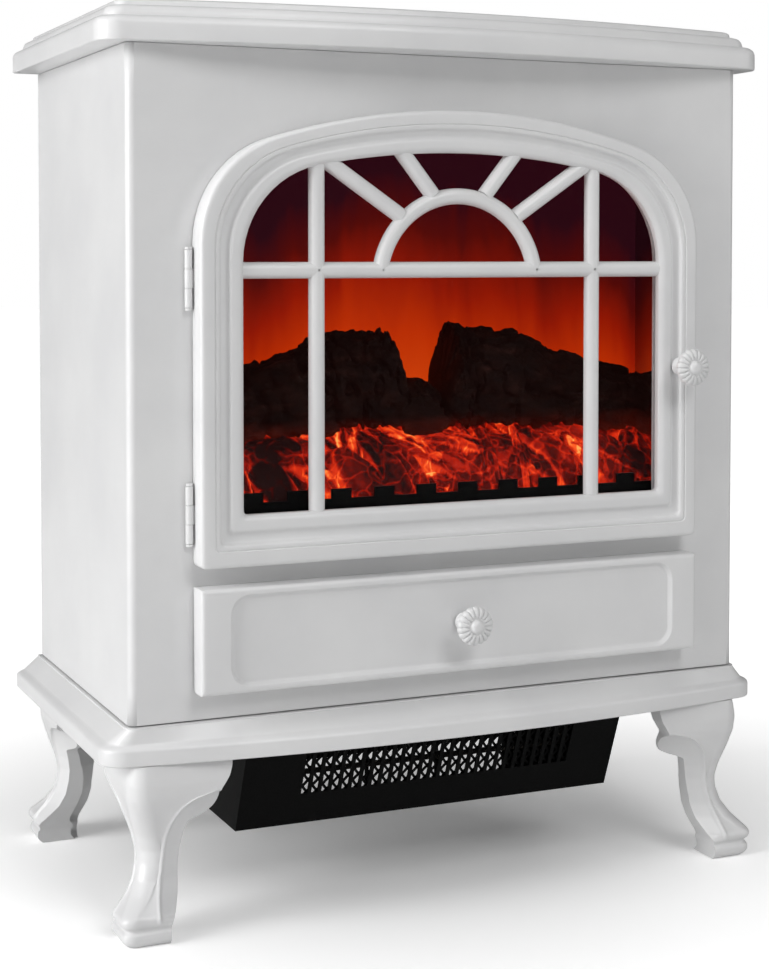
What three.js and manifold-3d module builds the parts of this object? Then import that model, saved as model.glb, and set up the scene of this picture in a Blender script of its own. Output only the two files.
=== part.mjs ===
// Stove-style electric fireplace: a steel casing on four cabriole legs, an arched glazed
// door over a lit log bed, a drop-down flap over the controls and a fan heater underneath.
// Units are millimetres, +Z up, the front faces -Y. Inside the stove group y = 0 is the
// front face of the steel casing; the group is shifted so that the box is centred on Y.
import * as THREE from "three";
import { mergeVertices } from "three/addons/utils/BufferGeometryUtils.js";
import Module from "manifold-3d";

const wasm = await Module();
wasm.setup();

// ---------- driving dimensions ----------
const GAP = 0.3; // clearance between pieces that touch
const SHEET = 1.5; // casing steel
const THIN = 1.2; // inner steel
const LEG_H = 115;
const PLINTH_H = 24;
const BODY_W = 460;
const BODY_D = 240;
const BODY_H = 438.7;
const BODY_R = 5; // folded front corners
const MANTEL_H = 29;
const BODY_Z = LEG_H + PLINTH_H;
const MANTEL_Z = BODY_Z + BODY_H + GAP;
const KNOB_REACH = 41.5; // front of the knobs, ahead of the casing
const REAR_REACH = 254; // back of the rear feet, behind the casing front
const SHIFT_Y = (KNOB_REACH - REAR_REACH) / 2;

const DOOR_FRONT = -17.5; // face of the door and flap
const DOOR_BACK = -0.6;
const DOOR_HALF_W = 186.8;
const DOOR_Z0 = BODY_Z + 101.5;
const DOOR_TOP = BODY_Z + 401;
const VIEW_HALF_W = 156.5;
const VIEW_Z0 = BODY_Z + 135;
const VIEW_TOP = BODY_Z + 372.5;
const HINGE_X = -190.2;
const HINGE_Y = -2.9;
const HINGE_LEAF_H = 37.5;
const HINGE_Z = [BODY_Z + 117, BODY_Z + 269.7];
const KNOB_R = 13.4;
const DOOR_KNOB = { x: 171.6, z: BODY_Z + 224 };
const LATTICE_Z = BODY_Z + 293.6; // centre of the cross bar

const FLAP_Z0 = BODY_Z + 19.4;
const FLAP_Z1 = BODY_Z + 88.3;
const FLAP_PIVOT = { y: -4.8, z: FLAP_Z0 + 4.2 };
const FLAP_EAR_X = 177;
const FLAP_KNOB_Z = BODY_Z + 54;
const CONTROL_HALF_W = 171.5;
const CONTROL_Z0 = BODY_Z + 26.4;
const CONTROL_Z1 = BODY_Z + 79.6;
const CONTROL_Y = 24; // front of the control plate
const SWITCH_X = { flame_switch: -105, low_heat_switch: -65, high_heat_switch: -25 };
const SWITCH_TILT = THREE.MathUtils.degToRad(7);
const CONTROL_MID_Z = (CONTROL_Z0 + CONTROL_Z1) / 2;
const THERMOSTAT_X = 75;

const BOX_HALF_W = 206; // firebox
const BOX_Y0 = 1.8;
const BOX_Y1 = 165;
const BOX_Z0 = BODY_Z + 111;
const BOX_Z1 = BODY_Z + 391;
const SCREEN_Y = 97;
const ROTOR = { y: 130, z: BODY_Z + 165, half: 178, shaftHalf: 190, r: 13 };

const HEATER_HALF_W = 144.7;
const HEATER_Z0 = 50;
const HEATER_BACK = 108;
const HEATER_LEAN = 0.404; // how far the front goes back for each mm down
const HEATER_TOP_Y = 13.9; // front face where it meets the plinth
const SLOTS = { count: 28, pitch: 7.5, x0: -98, width: 4.6, z0: 73, z1: 103 };
// Air inlets, cut through the bottom rear edge of the housing.
const INLETS = { count: 4, pitch: 57, x0: -104, width: 54, y0: 88, z1: 74 };
const WHEEL = { y: 82, z: 112, r: 21, x0: -98, x1: 112, blades: 12 };

// ---------- finishes ----------
const finish = (color, roughness, metalness) =>
  new THREE.MeshStandardMaterial({ color, roughness, metalness });
const WHITE = finish(0xf1efeb, 0.35, 0);
const BLACK = finish(0x121212, 0.55, 0.2);
const DARK_STEEL = finish(0x2a2a2b, 0.5, 0.7);
const ZINC = finish(0xb8bcc0, 0.35, 1);
const GLASS = finish(0xcfd8dc, 0.05, 0);
const SCREEN = finish(0x7a1608, 0.6, 0);
const EMBER = finish(0xd2410e, 0.6, 0);
const BARK = finish(0x2b1812, 0.9, 0);
const MICA = finish(0xb9a88a, 0.8, 0);
const NICHROME = finish(0x6d6a66, 0.45, 0.9);
const BRASS = finish(0xc2a24e, 0.3, 1);
const BOARD = finish(0x24563a, 0.6, 0);

// ---------- solids ----------
function solid(geometry) {
  const bare = geometry.index ? geometry.toNonIndexed() : geometry.clone();
  bare.deleteAttribute("normal");
  bare.deleteAttribute("uv");
  const merged = mergeVertices(bare, 1e-4);
  const made = new wasm.Manifold(
    new wasm.Mesh({
      numProp: 3,
      vertProperties: merged.attributes.position.array,
      triVerts: new Uint32Array(merged.index.array),
    }),
  );
  return made;
}

function cut(body, ...tools) {
  return tools.reduce((left, tool) => left.subtract(tool), body);
}

function join(first, ...others) {
  return others.reduce((sum, other) => sum.add(other), first);
}

function meshOf(body) {
  const { numProp, vertProperties, triVerts } = body.getMesh();
  const points = new Float32Array((vertProperties.length / numProp) * 3);
  for (let i = 0; i < points.length / 3; i++) {
    points.set(vertProperties.subarray(i * numProp, i * numProp + 3), i * 3);
  }
  const geometry = new THREE.BufferGeometry();
  geometry.setAttribute("position", new THREE.BufferAttribute(points, 3));
  geometry.setIndex(new THREE.BufferAttribute(triVerts, 1));
  geometry.computeVertexNormals();
  return geometry;
}

const stove = new THREE.Group();
stove.position.y = SHIFT_Y;

function assembly() {
  const group = new THREE.Group();
  stove.add(group);
  return group;
}

function add(group, name, body, material) {
  const mesh = new THREE.Mesh(meshOf(body), material);
  mesh.name = name;
  group.add(mesh);
}

// ---------- primitives ----------
function block(x0, x1, y0, y1, z0, z1) {
  const geometry = new THREE.BoxGeometry(x1 - x0, y1 - y0, z1 - z0);
  geometry.translate((x0 + x1) / 2, (y0 + y1) / 2, (z0 + z1) / 2);
  return solid(geometry);
}

const TURN_TO = {
  x: new THREE.Matrix4().makeRotationZ(-Math.PI / 2),
  y: new THREE.Matrix4(),
  z: new THREE.Matrix4().makeRotationX(Math.PI / 2),
};

// A round rod centred on (x, y, z), its length along the named axis.
function rod(axis, r, length, x, y, z, sides = 16) {
  const geometry = new THREE.CylinderGeometry(r, r, length, sides);
  geometry.applyMatrix4(TURN_TO[axis]);
  geometry.translate(x, y, z);
  return solid(geometry);
}

// A turned piece: profile points [radius, distance along the axis], both ends on the axis.
function turned(profile, axis, x, y, z, sides = 16) {
  const rises = profile[profile.length - 1][1] > profile[0][1];
  const points = (rises ? profile : [...profile].reverse()).map(([r, h]) => new THREE.Vector2(r, h));
  const geometry = new THREE.LatheGeometry(points, sides);
  geometry.applyMatrix4(TURN_TO[axis]);
  geometry.translate(x, y, z);
  return solid(geometry);
}

// Points along an arc about (cx, cy), both ends included.
function arc(cx, cy, r, from, to, segments) {
  const points = [];
  for (let i = 0; i <= segments; i++) {
    const a = from + (i / segments) * (to - from);
    points.push([cx + r * Math.cos(a), cy + r * Math.sin(a)]);
  }
  return points;
}

function shapeOf(outline, hole) {
  const vectors = (points) => points.map(([a, b]) => new THREE.Vector2(a, b));
  const shape = new THREE.Shape(vectors(outline));
  if (hole) {
    shape.holes.push(new THREE.Path(vectors(hole)));
  }
  return shape;
}

// A plan outline (x, y) carried up from z0 to z1.
function raised(shape, z0, z1) {
  const geometry = new THREE.ExtrudeGeometry(shape, { depth: z1 - z0, bevelEnabled: false });
  geometry.translate(0, 0, z0);
  return solid(geometry);
}

// A front view outline (x, z) carried from y0 (front) back to y1, its edges eased by bevel.
function facing(shape, y0, y1, bevel = 0) {
  const geometry = new THREE.ExtrudeGeometry(shape, {
    depth: y1 - y0 - 2 * bevel,
    bevelEnabled: bevel > 0,
    bevelThickness: bevel,
    bevelSize: bevel,
    bevelOffset: -bevel,
    bevelSegments: 2,
  });
  geometry.rotateX(Math.PI / 2);
  geometry.translate(0, y1 - bevel, 0);
  return solid(geometry);
}

// A side view outline (y, z) carried along X from x0 to x1.
function sideways(points, x0, x1) {
  const geometry = new THREE.ExtrudeGeometry(shapeOf(points), {
    depth: x1 - x0,
    bevelEnabled: false,
  });
  const axes = new THREE.Matrix4().makeBasis(
    new THREE.Vector3(0, 1, 0),
    new THREE.Vector3(0, 0, 1),
    new THREE.Vector3(1, 0, 0),
  );
  geometry.applyMatrix4(axes);
  geometry.translate(x0, 0, 0);
  return solid(geometry);
}

function roundedRect(x0, x1, z0, z1, r) {
  const quarter = Math.PI / 2;
  return [
    ...arc(x1 - r, z0 + r, r, -quarter, 0, 3),
    ...arc(x1 - r, z1 - r, r, 0, quarter, 3),
    ...arc(x0 + r, z1 - r, r, quarter, 2 * quarter, 3),
    ...arc(x0 + r, z0 + r, r, 2 * quarter, 3 * quarter, 3),
  ];
}

// Closed solid from points and triangles, turned to face outwards.
function facetted(points, index) {
  const geometry = new THREE.BufferGeometry().setFromPoints(points);
  geometry.setIndex(index);
  const made = solid(geometry);
  if (made.volume() > 0) {
    return made;
  }
  for (let i = 0; i < index.length; i += 3) {
    [index[i + 1], index[i + 2]] = [index[i + 2], index[i + 1]];
  }
  geometry.setIndex(index);
  return solid(geometry);
}

// Closed surface through a stack of rings with equal point counts, capped at both ends.
// Each ring is level in the plane of the two named axes.
function lofted(rings, [u, v] = ["x", "y"]) {
  const count = rings[0].length;
  const flat = rings[0].map((p) => new THREE.Vector2(p[u], p[v]));
  const clockwise = THREE.ShapeUtils.isClockWise(flat);
  const last = (rings.length - 1) * count;
  const index = [];
  for (const [a, p, q] of THREE.ShapeUtils.triangulateShape(flat, [])) {
    const [b, c] = clockwise ? [q, p] : [p, q];
    index.push(a, c, b, last + a, last + b, last + c);
  }
  for (let row = 0; row + 1 < rings.length; row++) {
    for (let i = 0; i < count; i++) {
      const a = row * count + i;
      const b = row * count + ((i + 1) % count);
      index.push(a, b, b + count, a, b + count, a + count);
    }
  }
  return facetted(rings.flat(), index);
}

// ---------- mantel and plinth: a plan with a bowed front and rounded front corners ----------
function bowedPlan(halfW, cornerY, bow, backY, r, inset, z) {
  const w = halfW - inset;
  const front = cornerY + inset;
  const points = [];
  const corner = 5;
  const arc = 10;
  points.push(new THREE.Vector3(-w, backY, z));
  for (let i = 0; i <= corner; i++) {
    const a = Math.PI + (i / corner) * (Math.PI / 2);
    points.push(new THREE.Vector3(-w + r + r * Math.cos(a), front + r + r * Math.sin(a), z));
  }
  for (let i = 1; i < arc; i++) {
    const t = (2 * i) / arc - 1;
    points.push(new THREE.Vector3(t * (w - r), front - bow * (1 - t * t), z));
  }
  for (let i = 0; i <= corner; i++) {
    const a = 1.5 * Math.PI + (i / corner) * (Math.PI / 2);
    points.push(new THREE.Vector3(w - r + r * Math.cos(a), front + r + r * Math.sin(a), z));
  }
  points.push(new THREE.Vector3(w, backY, z));
  return points;
}

const MANTEL_PLAN = { halfW: 249, cornerY: -8, bow: 23, backY: BODY_D, r: 17 };
const PLINTH_PLAN = { halfW: 248, cornerY: -6, bow: 18, backY: BODY_D + 6, r: 17 };

function plan({ halfW, cornerY, bow, backY, r }, inset, z) {
  return bowedPlan(halfW, cornerY, bow, backY, r, inset, z);
}

function mantel() {
  // [height above the underside, inset]: slab, quirk, ovolo and thin top board
  const steps = [
    [0, 1.5],
    [1.5, 0],
    [12, 0],
    [15.3, 1.4],
    [16.5, 4.5],
    [16.9, 7.6],
    [21, 7.8],
    [23.2, 9.4],
    [24, 12],
    [24.2, 14],
    [27, 14.6],
    [MANTEL_H - GAP, 18],
  ];
  const board = lofted(steps.map(([h, inset]) => plan(MANTEL_PLAN, inset, MANTEL_Z + h)));
  const hollow = block(-222, 222, 8, 232, MANTEL_Z - 1, MANTEL_Z + MANTEL_H - 4.5);
  return cut(board, hollow);
}

function plinth() {
  const z = LEG_H;
  const rings = [
    plan(PLINTH_PLAN, 1.5, z),
    plan(PLINTH_PLAN, 0, z + 1.5),
    plan(PLINTH_PLAN, 0, z + 10.5),
    plan(PLINTH_PLAN, 1.6, z + 13),
  ];
  const top = { halfW: BODY_W / 2 + 2, cornerY: -2, bow: 0, backY: BODY_D + 2, r: 6 };
  rings.push(plan(top, 0, z + PLINTH_H - 1));
  rings.push(plan(top, 1, z + PLINTH_H));
  const pocket = block(-222, 222, 8, 232, z + 4, z + PLINTH_H + 1);
  const passage = block(-146.5, 146.5, 10.5, 112, z - 1, z + 5);
  return cut(lofted(rings), pocket, passage);
}

// ---------- legs: an L section whose corner follows a cabriole curve ----------
// [height, corner throw, inner end of the wing from the centre line, wall]
const LEG_STATIONS = [
  [0, 3.5, 207, 26],
  [2.5, 6, 206, 27],
  [10, 6.5, 206, 27],
  [12.5, 4.2, 207, 26],
  [15, 7, 203, 24],
  [20, 5.5, 200.5, 22],
  [28, -1, 198, 20],
  [40, -6.5, 197, 18],
  [52, -8, 196, 17],
  [66, -5.5, 193, 17],
  [73, -3.6, 189, 16],
  [76, -2.8, 182, 16],
  [80, -1.8, 175, 16],
  [86, -0.2, 171, 16],
  [96, 1, 170, 16],
  [LEG_H - GAP, 0, 163, 16],
];
const LEG_CORNER = { x: 230, y: -7, r: 8 };

function legSection(height, bulge, innerEnd, wall, sideX, sideY) {
  const x0 = -LEG_CORNER.x - bulge;
  const y0 = LEG_CORNER.y - bulge;
  const length = LEG_CORNER.x + bulge - innerEnd;
  const r = LEG_CORNER.r;
  const outline = [[x0 + length, y0]];
  for (let i = 0; i <= 4; i++) {
    const a = -Math.PI / 2 - (i / 4) * (Math.PI / 2);
    outline.push([x0 + r + r * Math.cos(a), y0 + r + r * Math.sin(a)]);
  }
  outline.push([x0, y0 + length]);
  outline.push([x0 + wall, y0 + length]);
  outline.push([x0 + wall, y0 + wall]);
  outline.push([x0 + length, y0 + wall]);
  const mid = BODY_D / 2;
  return outline.map(
    ([x, y]) => new THREE.Vector3(-sideX * x, mid + sideY * (mid - y), height),
  );
}

// sideX is -1 on the left, sideY is -1 at the front.
function leg(sideX, sideY) {
  return lofted(
    LEG_STATIONS.map(([height, bulge, innerEnd, wall]) =>
      legSection(height, bulge, innerEnd, wall, sideX, sideY),
    ),
  );
}

// ---------- arched outlines ----------
// Straight sides, shoulders of radius shoulderR and a crown of radius crownR, in (x, z).
function archOutline(halfW, z0, top, crownR, shoulderR, footR) {
  const crownZ = top - crownR;
  const shoulderX = halfW - shoulderR;
  const shoulderZ = crownZ + Math.sqrt((crownR - shoulderR) ** 2 - shoulderX ** 2);
  const meet = Math.atan2(shoulderZ - crownZ, shoulderX);
  const right = [
    ...arc(halfW - footR, z0 + footR, footR, -Math.PI / 2, 0, 2),
    ...arc(shoulderX, shoulderZ, shoulderR, 0, meet, 6),
    ...arc(0, crownZ, crownR, meet, Math.PI / 2, 6).slice(1),
  ];
  const left = right.slice(0, -1).map(([x, z]) => [-x, z]);
  return [...right, ...left.reverse()];
}

const doorOutline = (d) =>
  archOutline(DOOR_HALF_W - d, DOOR_Z0 + d, DOOR_TOP - d, 456 - d, 72 - d, 3 + d / 2);
const viewOutline = (d) =>
  archOutline(VIEW_HALF_W + d, VIEW_Z0 - d, VIEW_TOP + d, 545 + d, 65 + d, 3);

// ---------- door ----------
const MOULDING_FLOOR = -12.3;

function mortise(z) {
  return block(-200, -166.5, -3.8, 0, z - 0.5, z + HINGE_LEAF_H + 0.5);
}

function doorFrame() {
  const plate = facing(shapeOf(doorOutline(0)), MOULDING_FLOOR, DOOR_BACK);
  const outerBand = facing(shapeOf(doorOutline(0), doorOutline(14.5)), DOOR_FRONT, -8, 2.4);
  const innerBand = facing(shapeOf(doorOutline(20.5), viewOutline(0)), -16, -8, 2.2);
  const view = facing(shapeOf(viewOutline(0)), -20, 1);
  const paneRecess = facing(shapeOf(viewOutline(6)), -9.1, 1);
  const { x, z } = DOOR_KNOB;
  const strikeSeat = block(169.5, 183.5, -2.3, 0, z - 24, z - 14);
  return cut(
    join(plate, outerBand, innerBand),
    view,
    paneRecess,
    rod("y", 2.6, 30, x, -10, z),
    rod("y", 4.6, 6, x, 0, z),
    strikeSeat,
    ...HINGE_Z.map(mortise),
  );
}

// A moulded bar from (x0, z0) to (x1, z1): flat back, eased front.
function latticeBar(x0, z0, x1, z1, width) {
  const length = Math.hypot(x1 - x0, z1 - z0);
  const h = width / 2;
  const section = shapeOf([
    [-h, 0],
    [h, 0],
    [h, 2.6],
    [h * 0.45, 6.2],
    [-h * 0.45, 6.2],
    [-h, 2.6],
  ]);
  const geometry = new THREE.ExtrudeGeometry(section, { depth: length, bevelEnabled: false });
  const along = new THREE.Vector3(x1 - x0, 0, z1 - z0).normalize();
  const front = new THREE.Vector3(0, -1, 0);
  const across = new THREE.Vector3().crossVectors(front, along);
  geometry.applyMatrix4(new THREE.Matrix4().makeBasis(across, front, along));
  geometry.translate(x0, -7.6, z0);
  return solid(geometry);
}

const RING = { z: LATTICE_Z - 8.8, inner: 52.8, outer: 64.6 };
const UPRIGHT_X = 104;
const BAR_W = 10.6;

function doorLattice() {
  const flange = facing(shapeOf(viewOutline(5.2), viewOutline(-1)), -8.8, -6.8);
  const bars = [
    latticeBar(-VIEW_HALF_W - 1, LATTICE_Z, VIEW_HALF_W + 1, LATTICE_Z, BAR_W),
    latticeBar(-UPRIGHT_X, VIEW_Z0 - 1, -UPRIGHT_X, VIEW_TOP - 8, BAR_W),
    latticeBar(UPRIGHT_X, VIEW_Z0 - 1, UPRIGHT_X, VIEW_TOP - 8, BAR_W),
  ];
  for (const side of [-1, 1]) {
    bars.push(latticeBar(side * 44, LATTICE_Z + 37, side * 99, LATTICE_Z + 74, BAR_W));
    bars.push(latticeBar(side * 19, LATTICE_Z + 50, side * 44, LATTICE_Z + 79, BAR_W));
  }
  const half = [
    ...arc(0, RING.z, RING.outer, 0, Math.PI, 16),
    ...arc(0, RING.z, RING.inner, Math.PI, 0, 16),
  ];
  const arch = cut(
    facing(shapeOf(half), -13.8, -1.4, 2.4),
    block(-80, 80, -7.6, 0, BODY_Z, DOOR_TOP),
    block(-80, 80, -20, 0, BODY_Z, LATTICE_Z - 2),
  );
  const opening = facing(shapeOf(viewOutline(-0.6)), -15, -7.4);
  return join(join(...bars, arch).intersect(opening), flange);
}

function doorGlass() {
  return facing(shapeOf(viewOutline(5.2)), -6.5, -3.5);
}

// A petalled pull: fluted cap with a centre button on a turned stem, pointing to -Y.
function daisyKnob(x, z) {
  const petals = 18;
  const points = [];
  for (let i = 0; i < petals * 2; i++) {
    const a = (i / petals) * Math.PI;
    const r = i % 2 ? KNOB_R - 1.1 : KNOB_R;
    points.push([x + r * Math.cos(a), z + r * Math.sin(a)]);
  }
  const cap = facing(shapeOf(points), -39.2, -32, 1.6);
  const stem = turned(
    [
      [0, -17.8],
      [6.4, -17.8],
      [4.6, -20.5],
      [4.6, -28],
      [8, -34],
      [0, -34],
    ],
    "y",
    x,
    0,
    z,
  );
  const button = turned(
    [
      [0, -41.5],
      [2.6, -41.1],
      [4.2, -39.5],
      [4.2, -37],
      [0, -37],
    ],
    "y",
    x,
    0,
    z,
  );
  return cut(join(cap, stem, button), rod("y", 2.3, 18, x, -20, z));
}

// Pan-head screw driven from behind along -Y; its head seats at y.
function knobScrew(x, y, z) {
  return join(rod("y", 3.9, 1.8, x, y - 0.9, z), rod("y", 1.9, 23, x, y - 12.5, z));
}

// ---------- butt hinges ----------
const KNUCKLE_R = 2.5;
const PIN_R = 1.2;

function hingeBodyLeaf(z) {
  const third = HINGE_LEAF_H / 3;
  const knuckle = (from) =>
    rod("z", KNUCKLE_R, third - GAP, HINGE_X, HINGE_Y, from + third / 2);
  const leaf = block(HINGE_X, -168, -1.3, -0.3, z, z + HINGE_LEAF_H);
  const relief = block(
    HINGE_X - 3.5,
    HINGE_X + 3.2,
    HINGE_Y - 3,
    0,
    z + third - GAP / 2,
    z + 2 * third + GAP / 2,
  );
  const bore = rod("z", PIN_R + GAP, 2 * HINGE_LEAF_H, HINGE_X, HINGE_Y, z);
  return cut(join(cut(leaf, relief), knuckle(z), knuckle(z + 2 * third)), bore);
}

function hingeDoorLeaf(z) {
  const third = HINGE_LEAF_H / 3;
  const knuckle = rod("z", KNUCKLE_R, third - GAP, HINGE_X, HINGE_Y, z + HINGE_LEAF_H / 2);
  const tab = block(HINGE_X, -185, -3.4, -2.4, z + third + GAP / 2, z + 2 * third - GAP / 2);
  const leaf = block(-186.2, -168, -3.4, -2.4, z, z + HINGE_LEAF_H);
  const bore = rod("z", PIN_R + GAP, 2 * HINGE_LEAF_H, HINGE_X, HINGE_Y, z);
  return cut(join(knuckle, tab, leaf), bore);
}

function hingePin(z) {
  const head = 1.4;
  const top = z + HINGE_LEAF_H + GAP;
  return join(
    rod("z", PIN_R, HINGE_LEAF_H + 2 * head, HINGE_X, HINGE_Y, z + HINGE_LEAF_H / 2, 12),
    rod("z", KNUCKLE_R - 0.2, head, HINGE_X, HINGE_Y, top + head / 2),
    rod("z", KNUCKLE_R - 0.2, head, HINGE_X, HINGE_Y, z - GAP - head / 2),
  );
}

// ---------- casing ----------
function bodyShell() {
  const w = BODY_W / 2;
  const z0 = BODY_Z + GAP;
  const z1 = BODY_Z + BODY_H;
  const lip = 14;
  const inR = BODY_R - SHEET;
  const half = Math.PI / 2;
  const outline = [
    [-w + lip, BODY_D],
    [-w, BODY_D],
    ...arc(-w + BODY_R, BODY_R, BODY_R, 2 * half, 3 * half, 3),
    ...arc(w - BODY_R, BODY_R, BODY_R, -half, 0, 3),
    [w, BODY_D],
    [w - lip, BODY_D],
    [w - lip, BODY_D - SHEET],
    [w - SHEET, BODY_D - SHEET],
    ...arc(w - BODY_R, BODY_R, inR, 0, -half, 3),
    ...arc(-w + BODY_R, BODY_R, inR, -half, -2 * half, 3),
    [-w + SHEET, BODY_D - SHEET],
    [-w + lip, BODY_D - SHEET],
  ];
  return cut(
    raised(shapeOf(outline), z0, z1),
    facing(shapeOf(viewOutline(4)), -1, 4),
    block(-CONTROL_HALF_W - 0.5, CONTROL_HALF_W + 0.5, -1, 4, CONTROL_Z0 - 0.5, CONTROL_Z1 + 0.5),
  );
}

const GLAND = { x: 170, z: BODY_Z + 45, r: 7 };
const BACK_Y = BODY_D + GAP;

function backPanel() {
  const w = BODY_W / 2 - 2;
  const plate = block(-w, w, BACK_Y, BACK_Y + 1, BODY_Z + 3, BODY_Z + BODY_H - 3);
  const slots = [];
  for (const z of [BODY_Z + 60, BODY_Z + 350]) {
    for (let i = 0; i < 9; i++) {
      const x = -96 + i * 24;
      slots.push(block(x - 3, x + 3, BACK_Y - 1, BACK_Y + 2, z, z + 36));
    }
  }
  return cut(plate, ...slots, rod("y", GLAND.r + GAP, 6, GLAND.x, BACK_Y, GLAND.z));
}

function cordGland() {
  const { x, z, r } = GLAND;
  const flange = rod("y", r + 3.5, 4, x, BACK_Y + 1 + GAP + 2, z, 20);
  const neck = rod("y", r, 14, x, BACK_Y - 3.5, z, 20);
  return cut(join(flange, neck), rod("y", 3.8, 60, x, BACK_Y, z, 12));
}

function terminalBlock() {
  const x = GLAND.x - 50;
  const z = GLAND.z;
  const body = block(x - 20, x + 20, BACK_Y - 20, BACK_Y - GAP, z - 8, z + 8);
  const wells = [-13, 0, 13].map((dx) => rod("z", 3, 8, x + dx, BACK_Y - 13, z + 7, 8));
  return cut(body, ...wells);
}

// ---------- flap and its pivots ----------
function controlFlap() {
  const { y, z } = FLAP_PIVOT;
  const ease = 2.8;
  const heelR = 4.2;
  const outline = [];
  for (let i = 0; i <= 5; i++) {
    const a = -(i / 5) * (Math.PI / 2);
    outline.push([y + heelR * Math.cos(a), z + heelR * Math.sin(a)]);
  }
  outline.push([DOOR_FRONT + ease, FLAP_Z0]);
  outline.push([DOOR_FRONT, FLAP_Z0 + ease]);
  outline.push([DOOR_FRONT, FLAP_Z1 - ease]);
  outline.push([DOOR_FRONT + ease, FLAP_Z1]);
  outline.push([y + heelR, FLAP_Z1]);
  const panel = sideways(outline, -DOOR_HALF_W, DOOR_HALF_W);
  const rim = roundedRect(-166.5, 166.5, BODY_Z + 23.8, BODY_Z + 83.8, 13);
  const floor = roundedRect(-162, 162, BODY_Z + 28.3, BODY_Z + 79.3, 9);
  const fieldRings = [outlineAt(rim, DOOR_FRONT - 0.01), outlineAt(floor, DOOR_FRONT + 2.6)];
  const fieldIn = lofted(fieldRings, ["x", "z"]);
  const inside = block(-183, 183, -12, 0, FLAP_Z0 + 3.2, FLAP_Z1 - 3.5);
  const boss = rod("y", 7, 9, 0, -8.5, FLAP_KNOB_Z);
  const notch = (x) => block(x - 2.6, x + 2.6, -10, 0, FLAP_Z0 - 1, FLAP_Z0 + 10);
  return cut(
    join(cut(panel, fieldIn, inside), boss),
    notch(-FLAP_EAR_X),
    notch(FLAP_EAR_X),
    rod("x", 1.5 + GAP, 400, 0, y, z, 12),
    rod("y", 2.6, 30, 0, -10, FLAP_KNOB_Z),
    rod("y", 4.6, 4, 0, -4, FLAP_KNOB_Z),
  );
}

// A front view outline (x, z) set at depth y.
function outlineAt(outline, y) {
  return outline.map(([x, z]) => new THREE.Vector3(x, y, z));
}

function flapBracket(side) {
  const { y, z } = FLAP_PIVOT;
  const x0 = Math.min(side * (FLAP_EAR_X - 0.8), side * (FLAP_EAR_X + 0.8));
  const ear = sideways(
    [
      [-0.4, z + 24],
      [-3, z + 22],
      [-8, z + 6],
      [-8, z - 2],
      [y - 1, z - 3.2],
      [y + 2, z - 3],
      [-1.9, z + 1],
      [-1.9, z + 5],
      [-0.4, z + 6],
    ],
    x0,
    x0 + 1.6,
  );
  const edge = side * (FLAP_EAR_X - 0.2);
  const far = side * 174.2;
  const foot = block(Math.min(edge, far), Math.max(edge, far), -1.9, -0.4, z + 6, z + 24);
  return cut(join(ear, foot), rod("x", 1.5 + GAP, 10, side * FLAP_EAR_X, y, z, 12));
}

function flapPin(side) {
  const { y, z } = FLAP_PIVOT;
  return rod("x", 1.5, 13, side * 180.2, y, z, 12);
}

// ---------- controls ----------
// Folded frame round the recess, with a flange behind the casing.
function controlSurround() {
  const w = CONTROL_HALF_W;
  const walls = block(-w, w, 1.8, CONTROL_Y - GAP, CONTROL_Z0, CONTROL_Z1);
  const flange = block(-w - 6, w + 6, 1.8, 3.2, CONTROL_Z0 - 5, CONTROL_Z1 + 5);
  const bowl = block(-w + SHEET, w - SHEET, 0, CONTROL_Y + 1, CONTROL_Z0 + SHEET, CONTROL_Z1 - SHEET);
  return cut(join(walls, flange), bowl);
}

// Flat plate behind the surround that holds the switches and the thermostat.
function controlPanel() {
  const w = CONTROL_HALF_W;
  const plate = block(-w, w, CONTROL_Y, CONTROL_Y + SHEET, CONTROL_Z0, CONTROL_Z1);
  const windows = Object.values(SWITCH_X).map((x) =>
    block(x - 11, x + 11, CONTROL_Y - 1, CONTROL_Y + 4, CONTROL_MID_Z - 7.5, CONTROL_MID_Z + 7.5),
  );
  const shaftHole = rod("y", 4.3, 8, THERMOSTAT_X, CONTROL_Y, CONTROL_MID_Z);
  return cut(plate, ...windows, shaftHole);
}

function switchBody(x) {
  const z = CONTROL_MID_Z;
  const bezel = block(x - 13, x + 13, CONTROL_Y - GAP - 1.8, CONTROL_Y - GAP, z - 10, z + 10);
  const can = block(x - 10.5, x + 10.5, CONTROL_Y - 1, CONTROL_Y + 18, z - 7.2, z + 7.2);
  const well = block(x - 9, x + 9, CONTROL_Y - 4, CONTROL_Y + 9, z - 6.8, z + 6.8);
  return cut(join(bezel, can), well);
}

// A rocker: two pressing faces that meet in a shallow valley, tilted to its off side.
function switchRocker(x) {
  const z = CONTROL_MID_Z;
  const axisY = CONTROL_Y + 3;
  const profile = [
    [-6.4, 5.4],
    [-5, 0],
    [-6.4, -5.4],
    [0, -5.8],
    [4.6, -2],
    [4.6, 2],
    [0, 5.8],
  ];
  const cosT = Math.cos(SWITCH_TILT);
  const sinT = Math.sin(SWITCH_TILT);
  const turnedProfile = profile.map(([a, b]) => [
    axisY + a * cosT - b * sinT,
    z + a * sinT + b * cosT,
  ]);
  return sideways(turnedProfile, x - 8.5, x + 8.5);
}

function thermostatKnob() {
  const cap = turned(
    [
      [0, 6],
      [12.5, 6],
      [14, 8],
      [15, CONTROL_Y - 0.8],
      [0, CONTROL_Y - 0.8],
    ],
    "y",
    THERMOSTAT_X,
    0,
    CONTROL_MID_Z,
    24,
  );
  const rib = block(
    THERMOSTAT_X - 2.2,
    THERMOSTAT_X + 2.2,
    3,
    8,
    CONTROL_MID_Z - 11,
    CONTROL_MID_Z + 12.6,
  );
  const socket = rod("y", 3.3, 12, THERMOSTAT_X, CONTROL_Y, CONTROL_MID_Z);
  return cut(join(cap, rib), socket);
}

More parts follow.
